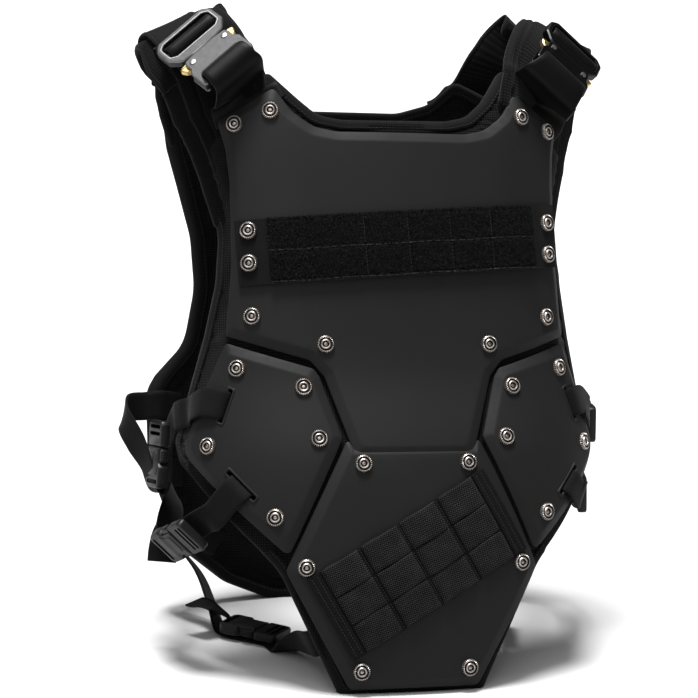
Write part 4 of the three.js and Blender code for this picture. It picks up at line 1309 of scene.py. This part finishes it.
# Shoulder buckles in their own frame: u across, v up the strap, w out
BUCKLE_CENTRE = np.array((154.4, 49.1, 532.1))
BUCKLE_RUN = unit((0.5, 0.66, 0.56))
BUCKLE_ACROSS = np.array((0.754, -0.015, -0.656))
BUCKLE_ACROSS = unit(BUCKLE_ACROSS - BUCKLE_RUN * (BUCKLE_ACROSS @ BUCKLE_RUN))
BUCKLE_OUT = np.cross(BUCKLE_ACROSS, BUCKLE_RUN)


def in_buckle(points):
    axes = np.stack((BUCKLE_ACROSS, BUCKLE_RUN, BUCKLE_OUT))
    return BUCKLE_CENTRE + np.asarray(points, float) @ axes


def buckle_rows(profile):
    """Rows of webbing across the buckle, from (v, w) points."""
    return run_of(BUCKLE_ACROSS, *(in_buckle((0, v, w)) for v, w in profile))


def metal_part(name, parts, side, material, slot, *nodes, body=BODY, edge=None, sharp=25):
    """Part of a buckle from flat solids; its bevels take the edge material, a painted highlight."""
    points, faces, _ = joined(*((p, f, p[:, :2]) for p, f, _ in parts))
    points = in_buckle(points)
    if side == "left":
        points = points * MIRROR
    obj = made(name, (points, faces, None), sharp, material, slot, *nodes, body=body, outward=True)
    if edge is not None:
        levels = [(np.mean(p[list(face), 2]), bevels) for p, f, bevels in parts for face in f]
        marks = [int(any(low < n < high for low, high in bevels)) for n, bevels in levels]
        obj.data.materials.append(edge)
        obj.data.polygons.foreach_set("material_index", marks)


def bevelled(corners, radii, low, high, bevel=0.9, holes=(), step=30):
    """Flat metal part with bevelled rims on both faces, and where its bevels lie."""
    layers = (
        (low, bevel), (low + bevel * 0.55, bevel * 0.25), (low + bevel * 0.8, 0),
        (high - bevel * 0.8, 0), (high - bevel * 0.55, bevel * 0.25), (high, bevel),
    )
    points, faces, _ = flat_solid(corners, radii, layers, holes, step, 6)
    slack, deep = bevel * 0.02, bevel * 0.8
    return points, faces, ((high - deep + slack, high - slack), (low + slack, low + deep - slack))


def hole_edge(outline, radius, low, high, bevel=1.1):
    """Bevelled ring that lines a hole."""
    section = (
        (0.15, low + 0.3), (0.15, high - bevel * 0.3), (-bevel * 0.45, high + 0.12), (-bevel, high + 0.12),
        (-bevel * 1.15, high - 0.3), (-0.3, high - 1.4), (-0.3, low + 0.3),
    )
    points, faces = edge_band(outline, [radius] * len(outline), section, 6)
    return points, faces, ((-99.0, 99.0),)


def lathe(profile, middle, around=24):
    """Round part about the w axis from (radius, w) points."""
    points = [(
        middle[0] + r * math.cos(2 * math.pi * k / around),
        middle[1] + r * math.sin(2 * math.pi * k / around), w,
    ) for r, w in profile for k in range(around)]
    return np.array(points), tube_faces(len(profile), around), ()


CASE_OUTLINE = (
    (11, 14.2), (22.6, 13.4), (24.4, 9), (24, 3.6), (27.6, -1.5), (27.6, -19.5), (24.5, -21), (22.6, -19),
    (22.4, -9.5), (19.5, -6.6),
)
CASE_RADII = (6, 2.5, 2.5, 3, 3, 3, 1.5, 1.5, 2.5, 2)
CASE_SHEETS = ((7.9, 10.2), (0.0, 2.1))
CASE_ARM = ((22.6, -3), (27.4, -3), (27.4, -19.4), (22.8, -19.4))
CASE_SPINE = ((-23, -3), (23, -3), (23, -6.4), (-23, -6.4))
CASE_BAR = {"middle": (-17, 5), "length": 46, "radius": 2.3}
RING_OUTLINE = ((25, 48.5), (31, 42.5), (31.2, 26), (23, 16.2), (12, 15))
RING_RADII = (5, 4, 4, 6, 9)
RING_SPAN = (1.0, 9.2)
RING_BAR = {"middle": (34.2, 5.2), "length": 55, "radius": 2.4}
TONGUE = ((-10, 2), (10, 2), (10, 17), (-10, 17))
SLOT_OUTLINE = ((21.8, 43.8), (26.8, 40.5), (26.8, 28), (21.5, 24.6))
SLOT_CORNER = 3.0
FIN_OUTLINE = ((11.5, 4), (14, 1.5), (23, 2), (28, 6), (31, 12.5), (24, 13.5), (14, 13))
FIN_RADII = (1.5, 2, 3, 5, 3.5, 3, 2)
FIN_EYE = 2.6
RIVET_PLACE = (18, 8)
RIVET_PROFILE = ((2.3, -0.7), (2.3, 10.0), (2.7, 10.3), (2.6, 10.9), (2.0, 11.15), (0.6, 11.2))


def rod(middle, length, radius, sides=16):
    """Round bar along u."""
    v0, w0 = middle
    angles = [2 * math.pi * k / sides for k in range(sides)]
    points = [
        (u, v0 + radius * math.cos(a), w0 + radius * math.sin(a))
        for u in (-length / 2, length / 2) for a in angles
    ]
    return np.array(points), tube_faces(2, sides), ()


def buckle(side):
    # The edge metal paints a highlight on the bevels
    metal, edge = (GREY_METAL, HIGHLIGHT_EDGE) if side == "left" else (BLACK_METAL, BLACK_HIGHLIGHT_EDGE)
    slot = "grey_metal" if side == "left" else "black_metal"
    outline = symmetric(CASE_OUTLINE, CASE_RADII)
    arms = [[(sign * u, v) for u, v in CASE_ARM] for sign in (-1, 1)]
    parts = [
        *[bevelled(*outline, *span) for span in CASE_SHEETS],
        bevelled(CASE_SPINE, [0.5] * 4, 1.8, 8.2, 0.3),
        rod(**CASE_BAR),
        *[bevelled(arm, [1.0] * 4, 1.2, 9.0, 0.4) for arm in arms],
    ]
    metal_part("buckle_case_" + side, parts, side, metal, slot, "buckle_body_" + side, edge=edge)
    u, v = RIVET_PLACE
    rivets = [lathe(RIVET_PROFILE, (sign * u, v)) for sign in (-1, 1)]
    metal_part("buckle_rivets_" + side, rivets, side, RIVET, slot)
    hole = counter_clockwise(symmetric(SLOT_OUTLINE)[0])[0]
    parts = [
        bevelled(*symmetric(RING_OUTLINE, RING_RADII), *RING_SPAN, 1.3, [rounded(hole, SLOT_CORNER, 6)]),
        bevelled(TONGUE, [2] * 4, 2.8, 7.2, 0.5),
        hole_edge(hole, SLOT_CORNER, *RING_SPAN),
        rod(**RING_BAR),
    ]
    metal_part("buckle_ring_" + side, parts, side, metal, slot, "buckle_frame_" + side, edge=edge)
    around = np.linspace(0, 2 * math.pi, 20, endpoint=False)
    for word, sign in (("outer", 1), ("inner", -1)):
        fin = [(sign * x, y) for x, y in FIN_OUTLINE]
        eye = [(sign * u + FIN_EYE * math.cos(a), v + FIN_EYE * math.sin(a)) for a in around]
        part = bevelled(fin, FIN_RADII, 2.4, 7.6, 0.9, [eye])
        end = f"{side}_{word}"
        settings = {"body": "lever_" + end, "sharp": 30}
        metal_part("buckle_fin_" + end, [part], side, GOLD, "gold", "buckle_lever_" + end, **settings)


for side in SIDES:
    buckle(side)


# Webbing of the buckles: rolled round the lower bar, and crowned over the ring's inner bar
PLATE_TOP = (0.88, -0.48)
FRONT_STRAP_STARTS = {
    "left": (
        (front(133.5, 489.5, -8.9), front_way(133.5, 489.5, *PLATE_TOP)),
        (front(135, 493, -8.7), front_way(135, 493, *PLATE_TOP)),
        (front(137.5, 498, -8.2), front_way(137.5, 498, *PLATE_TOP)),
        (front(141, 506, -6.0), BUCKLE_ACROSS),
    ),
    "right": (
        (front(133.5, 489.5, -8.9), front_way(133.5, 489.5, *PLATE_TOP)),
        (front(136, 493, -8.6), (0.78, 0.38, -0.5)),
        (front(140.5, 498, -7.6), (0.79, 0.2, -0.56)),
        (front(143, 506, -6.0), BUCKLE_ACROSS),
    ),
}
ROLL_TOP = ((-13.5, 13.8), (-8.6, 9.6), (-8.4, 3.5))
ROLLS = {
    "left": ((-29.5, 2.5), (-27.5, 9.0), (-21.5, 13.6), *ROLL_TOP),
    "right": ((-35.0, 1.5), (-30.5, 8.2), (-23.0, 13.0), *ROLL_TOP),
}
SLOT_LOOP = (
    (41.5, -6.5), (41.6, -1.0), (41.2, 4.0), (39.0, 8.2), (34.2, 10.2), (29.4, 8.4), (26.9, 4.5),
    (26.4, -1.0), (26.4, -6.5),
)
SHOULDER_FOLD = ((26, -3.2), (36, -2.2), (47, -1.6), (55, -3.0), (62, -8.0))
BUCKLE_WEBBING = {"wide": 50, "thick": 2.0}
ROLL_WIDTHS = {
    "left": (66, 66, 64, 58, 52, 48.5, 47, 46, 44, 43.5),
    "right": (66, 68, 67, 65, 60, 55, 51, 48, 45, 43.5),
}
ROLL_FLARE = 0.06
ROLL_STEPS = 10
ROLL_THICK = 2.4


def roll_section(ring, side):
    widths = ROLL_WIDTHS[side]
    wide = float(np.interp(ring / ROLL_STEPS, range(len(widths)), widths))
    shift = ROLL_FLARE * (wide - widths[-1])
    return [(x - shift, h) for x, h in tape_section(wide, ROLL_THICK, 12)]


for side in SIDES:
    flip = side == "left"
    strap = Strap((*FRONT_STRAP_STARTS[side], *buckle_rows(ROLLS[side])), ROLL_STEPS)
    shape = strap.solid(lambda i: roll_section(i, side), flip)
    made("front_roll_" + side, shape, 60, SATIN, "webbing", "front_strap_" + side)
    tape("slot_webbing_" + side, buckle_rows(SLOT_LOOP), SATIN, mirror=flip, **BUCKLE_WEBBING)
    tape("shoulder_fold_" + side, buckle_rows(SHOULDER_FOLD), WEBBING, mirror=flip, **BUCKLE_WEBBING)


# Side straps and their clips, in right-hand coordinates; the left ones are mirrored
DOWN = (0, 0, -1)
RISING = (0, 0, 1)
WEBBING_SIZE = {"wide": 25, "thick": 1.7}


def slot_rows(slot, degrees, *steps):
    """Rows of a strap at steps (s, z, n) from the middle of its slot, with their width at an angle."""
    s, z = slot["middle"]
    turn = math.radians(degrees)
    way = front_way(s, z, math.cos(turn), math.sin(turn))
    return run_of(way, *(front(s + ds, z + dz, n) for ds, dz, n in steps))


def off_slot(slot, ds, dz, n):
    """Row that leaves a slot with its width hanging down."""
    s, z = slot["middle"]
    return front(s + ds, z + dz, n), DOWN


def lying(x, y, lift):
    """Point above the floor, which slopes in the upright frame."""
    return (x, y, FLOOR_AT_FRONT + y * math.tan(LEAN) + lift)


def floor_way(x, y):
    return (x, y, y * math.tan(LEAN))


UPPER_START = slot_rows(UPPER_SLOT, -66, (-1.5, 0, -9), (0.3, 0.1, -1), (5, 1.5, 3), (20, 3, 3.6))
LOWER_START = slot_rows(LOWER_SLOT, -136, (-1, 1, -9), (0.2, -0.2, -1), (4, -4, 2.6), (13, -13, 2.8))
HEM_DOWN = (-0.45, 0.1, -0.89)
HEM_UP = (0.45, -0.1, 0.89)
# The clip sits at the row that its number names, counted from the strap's first row
SIDE_STRAPS = {
    "upper_right": {
        "start": UPPER_START, "clip": 6.5, "ends": DOWN,
        "end": (back(214, 241, 5), back(198, 239, 3), back(172, 238, 3)),
        "rows": (
            off_slot(UPPER_SLOT, 34, -6, 2),
            *run_of(DOWN, (190, 84, 226), (195, 110, 222), (200, 134, 226), (204, 158, 235)),
        ),
    },
    "upper_left": {
        "start": UPPER_START, "clip": 10, "ends": RISING,
        "end": (back(208, 240, -14), back(196, 239, -15), back(178, 238, -15)),
        "rows": (
            *slot_rows(UPPER_SLOT, -75, (33, 0, 0)),
            off_slot(UPPER_SLOT, 46, -4, -7.5), off_slot(UPPER_SLOT, 57, -6, -8.2),
            off_slot(UPPER_SLOT, 66, -8, -10),
            ((185, 93, 224), (-0.1, -0.5, -0.85)), ((188, 100, 212), (-0.15, -0.9, -0.4)),
            *run_of(
                (-0.15, -0.99, 0), (189.5, 101.5, 197), (190, 101.5, 176), (193.5, 103.5, 166),
                (200, 106, 168),
            ),
            ((205.5, 109, 187), (-0.25, -0.95, 0.1)), ((214, 114.5, 207), (-0.45, -0.8, 0.4)),
            ((222.5, 125, 228), (-0.2, -0.55, 0.8)),
            ((217, 138, 237), (0, -0.25, 0.97)), ((199, 153, 238.6), RISING),
        ),
    },
    "lower_right": {
        "start": LOWER_START, "clip": 6.5, "ends": DOWN,
        "end": (back(212, 180, 5), back(194, 179, 3), back(170, 178, 3)),
        "rows": (
            *slot_rows(LOWER_SLOT, -122, (24, -14, 0)), ((176, 80, 157), (0.1, 0.1, -0.98)),
            *run_of(DOWN, (184, 104, 158), (191, 128, 162), (199, 154, 168)),
        ),
    },
    "lower_left": {
        "start": LOWER_START, "clip": 6.3, "ends": DOWN,
        "end": (back(208, 180, -14), back(194, 179, -15), back(174, 178, -15)),
        "rows": (
            *slot_rows(LOWER_SLOT, -130, (27, -26, 0)),
            *run_of(
                (-0.72, 0.02, -0.69), (171.6, 42.6, 141), (180.1, 59, 132.2), (186, 80.8, 126.8),
                (191, 96, 122.5), (187, 110, 135),
            ),
            ((178, 131, 155), (-0.65, 0.1, -0.75)), ((175, 160, 170), (-0.35, 0.1, -0.93)),
        ),
    },
    "bottom_right": {
        "start": (), "clip": 4, "ends": DOWN,
        "end": (back(158, 124, -16), back(146, 127, -17), back(128, 132, -17)),
        "rows": (
            (front(76, 56, -26), HEM_DOWN), (front(88, 52, -26.5), HEM_DOWN),
            ((98, 46, 56), (-0.2, 0, -0.98)),
            *run_of(DOWN, (108, 84, 64), (118, 124, 76), (133, 168, 94), (145, 198, 112)),
        ),
    },
    "bottom_left": {
        "start": (), "clip": 5.85, "ends": RISING,
        "end": (back(172, 118, 7), back(156, 124, 4), back(138, 130, 4)),
        "rows": (
            (front(70, 42, -26), HEM_UP), (front(86, 36, -26), HEM_UP),
            ((82.4, 50, 35.5), (0.5, -0.15, 0.85)), ((84, 82, 30), (0.85, -0.05, 0.5)),
            (lying(84, 112, 2.4), floor_way(0.97, -0.2)),
            (lying(89, 133, 2.2), floor_way(0.8, -0.6)), (lying(105.5, 149.5, 2.6), floor_way(0.65, -0.75)),
            (lying(124, 165, 3.4), floor_way(0.65, -0.75)), (lying(129.5, 171, 7), (0.55, -0.8, 0)),
            ((134, 178, 58), (0.5, -0.85, 0.1)), ((144.5, 190, 89), (0.45, -0.8, 0.23)),
            ((168, 218, 120), (0.4, -0.7, 0.4)),
        ),
    },
}

# Side release clip in its own frame: x across the webbing, y along it, z out
CLIP_SPAN = (2.8, 12.8)
CLIP_SLOT_HALF = 12.6
CLIP_SLOTS = ((21.5, 25.2), (-25.4, -22.2), (-19.4, -16.2))
CLIP_RIBS = {"at": (-3.2, -0.8, 1.6, 4.0), "half": 0.45, "reach": (14.5, 16.9)}
SOCKET_OUTLINE = ((13.5, 29), (16.5, 24.5), (16.5, 10.5), (12.6, 7.2), (12.4, -4.5), (15.6, -6.4))
SOCKET_RADII = (4, 4, 4, 4, 4, 2)
PLUG_OUTLINE = ((15.8, -7.2), (16.5, -9.5), (16.5, -25.5), (14.5, -29))
PLUG_RADII = (2, 3, 4, 3)
PRONG_OUTLINE = ((11.0, 7.4), (14.6, 7.0), (16.4, 3.5), (16.4, -2.5), (14.8, -5.6), (11.0, -5.8))
PRONG_RADII = (1, 2, 3, 3, 2, 1)
PANEL_OUTLINE = ((9.5, 18), (12.8, 12.5), (9.0, 6.0), (9.0, -2.0))


def clip_solid(outline, radii, inward, bevel, holes=()):
    """Rounded block between the clip's faces, each moved in by its own distance."""
    low, high = CLIP_SPAN[0] + inward[0], CLIP_SPAN[1] - inward[1]
    layers = (
        (low, bevel), (low + bevel * 0.3, bevel * 0.3), (low + bevel, 0),
        (high - bevel, 0), (high - bevel * 0.3, bevel * 0.3), (high, bevel),
    )
    points, faces, _ = flat_solid(outline, radii, layers, holes, 60, 6)
    return points, faces, np.zeros((len(points), 2))


def oblong(x0, x1, y0, y1):
    return [(x0, y0), (x1, y0), (x1, y1), (x0, y1)]


def clip_opening(y0, y1):
    return rounded(oblong(-CLIP_SLOT_HALF, CLIP_SLOT_HALF, y0, y1), 1.2)


def clip_parts():
    thick = CLIP_SPAN[1] - CLIP_SPAN[0]
    socket, *plug = [clip_opening(*slot) for slot in CLIP_SLOTS]
    parts = [
        clip_solid(*symmetric(SOCKET_OUTLINE, SOCKET_RADII), (0, 0), 1.8, [socket]),
        clip_solid(*symmetric(PLUG_OUTLINE, PLUG_RADII), (0.9, 0.9), 1.6, plug),
        clip_solid(*symmetric(PANEL_OUTLINE, (3,) * 4), (thick - 0.6, -0.55), 0.5),
    ]
    half = CLIP_RIBS["half"]
    for sign in (-1, 1):
        outline = [(sign * x, y) for x, y in PRONG_OUTLINE]
        parts.append(clip_solid(outline, PRONG_RADII, (1.6, 1.6), 1.3))
        for y in CLIP_RIBS["at"]:
            rib = [(sign * a, b) for a, b in oblong(*CLIP_RIBS["reach"], y - half, y + half)]
            parts.append(clip_solid(rib, (0.3,) * 4, (2.4, 2.4), 0.3))
    return joined(*parts)


CLIP_POINTS, CLIP_FACES, CLIP_UVS = clip_parts()


def side_strap(key):
    data = SIDE_STRAPS[key]
    level, side = key.split("_")
    flip = side == "left"
    rows = (*data["start"], *data["rows"], *run_of(data["ends"], *data["end"]))
    node = f"{level}_strap_{side}"
    tape(f"{level}_webbing_{side}", rows, WEBBING, node, steps=12, mirror=flip, **WEBBING_SIZE)
    centre, wide, run, normal = Strap(rows, 20).at(data["clip"] / (len(rows) - 1))
    points = centre + CLIP_POINTS @ np.stack((wide, run, normal))
    if flip:
        points = points * MIRROR
    shape = (points, CLIP_FACES, CLIP_UVS)
    made(f"{level}_buckle_{side}", shape, 32, PLASTIC, "plastic", f"{level}_clip_{side}", outward=True)


for key in SIDE_STRAPS:
    side_strap(key)

# Free webbing ends of the slack straps
TAILS = {
    "lower_hanging_tail": run_of(
        (-0.958, -0.286, 0), (187, 101, 134), (190, 105, 126), (192.5, 107, 114), (193.5, 107, 104),
    ),
    "lower_folded_tail": (
        ((176, 84, 140), (-0.72, -0.2, 0.66)), ((167, 86, 133), (-0.72, -0.2, 0.66)),
        ((157, 86, 126), (-0.72, -0.25, 0.64)), ((147, 84, 120), (-0.72, -0.3, 0.62)),
    ),
    "bottom_tail": (
        ((120, 168, 47), (0.4, -0.88, 0.2)), ((131, 164, 54), (0.3, -0.88, 0.35)),
        ((144, 158, 61.5), (0.25, -0.88, 0.4)), ((156, 152, 65), (0.25, -0.88, 0.4)),
    ),
}
for name, rows in TAILS.items():
    tape(name, rows, WEBBING, steps=8, mirror=True, **WEBBING_SIZE)
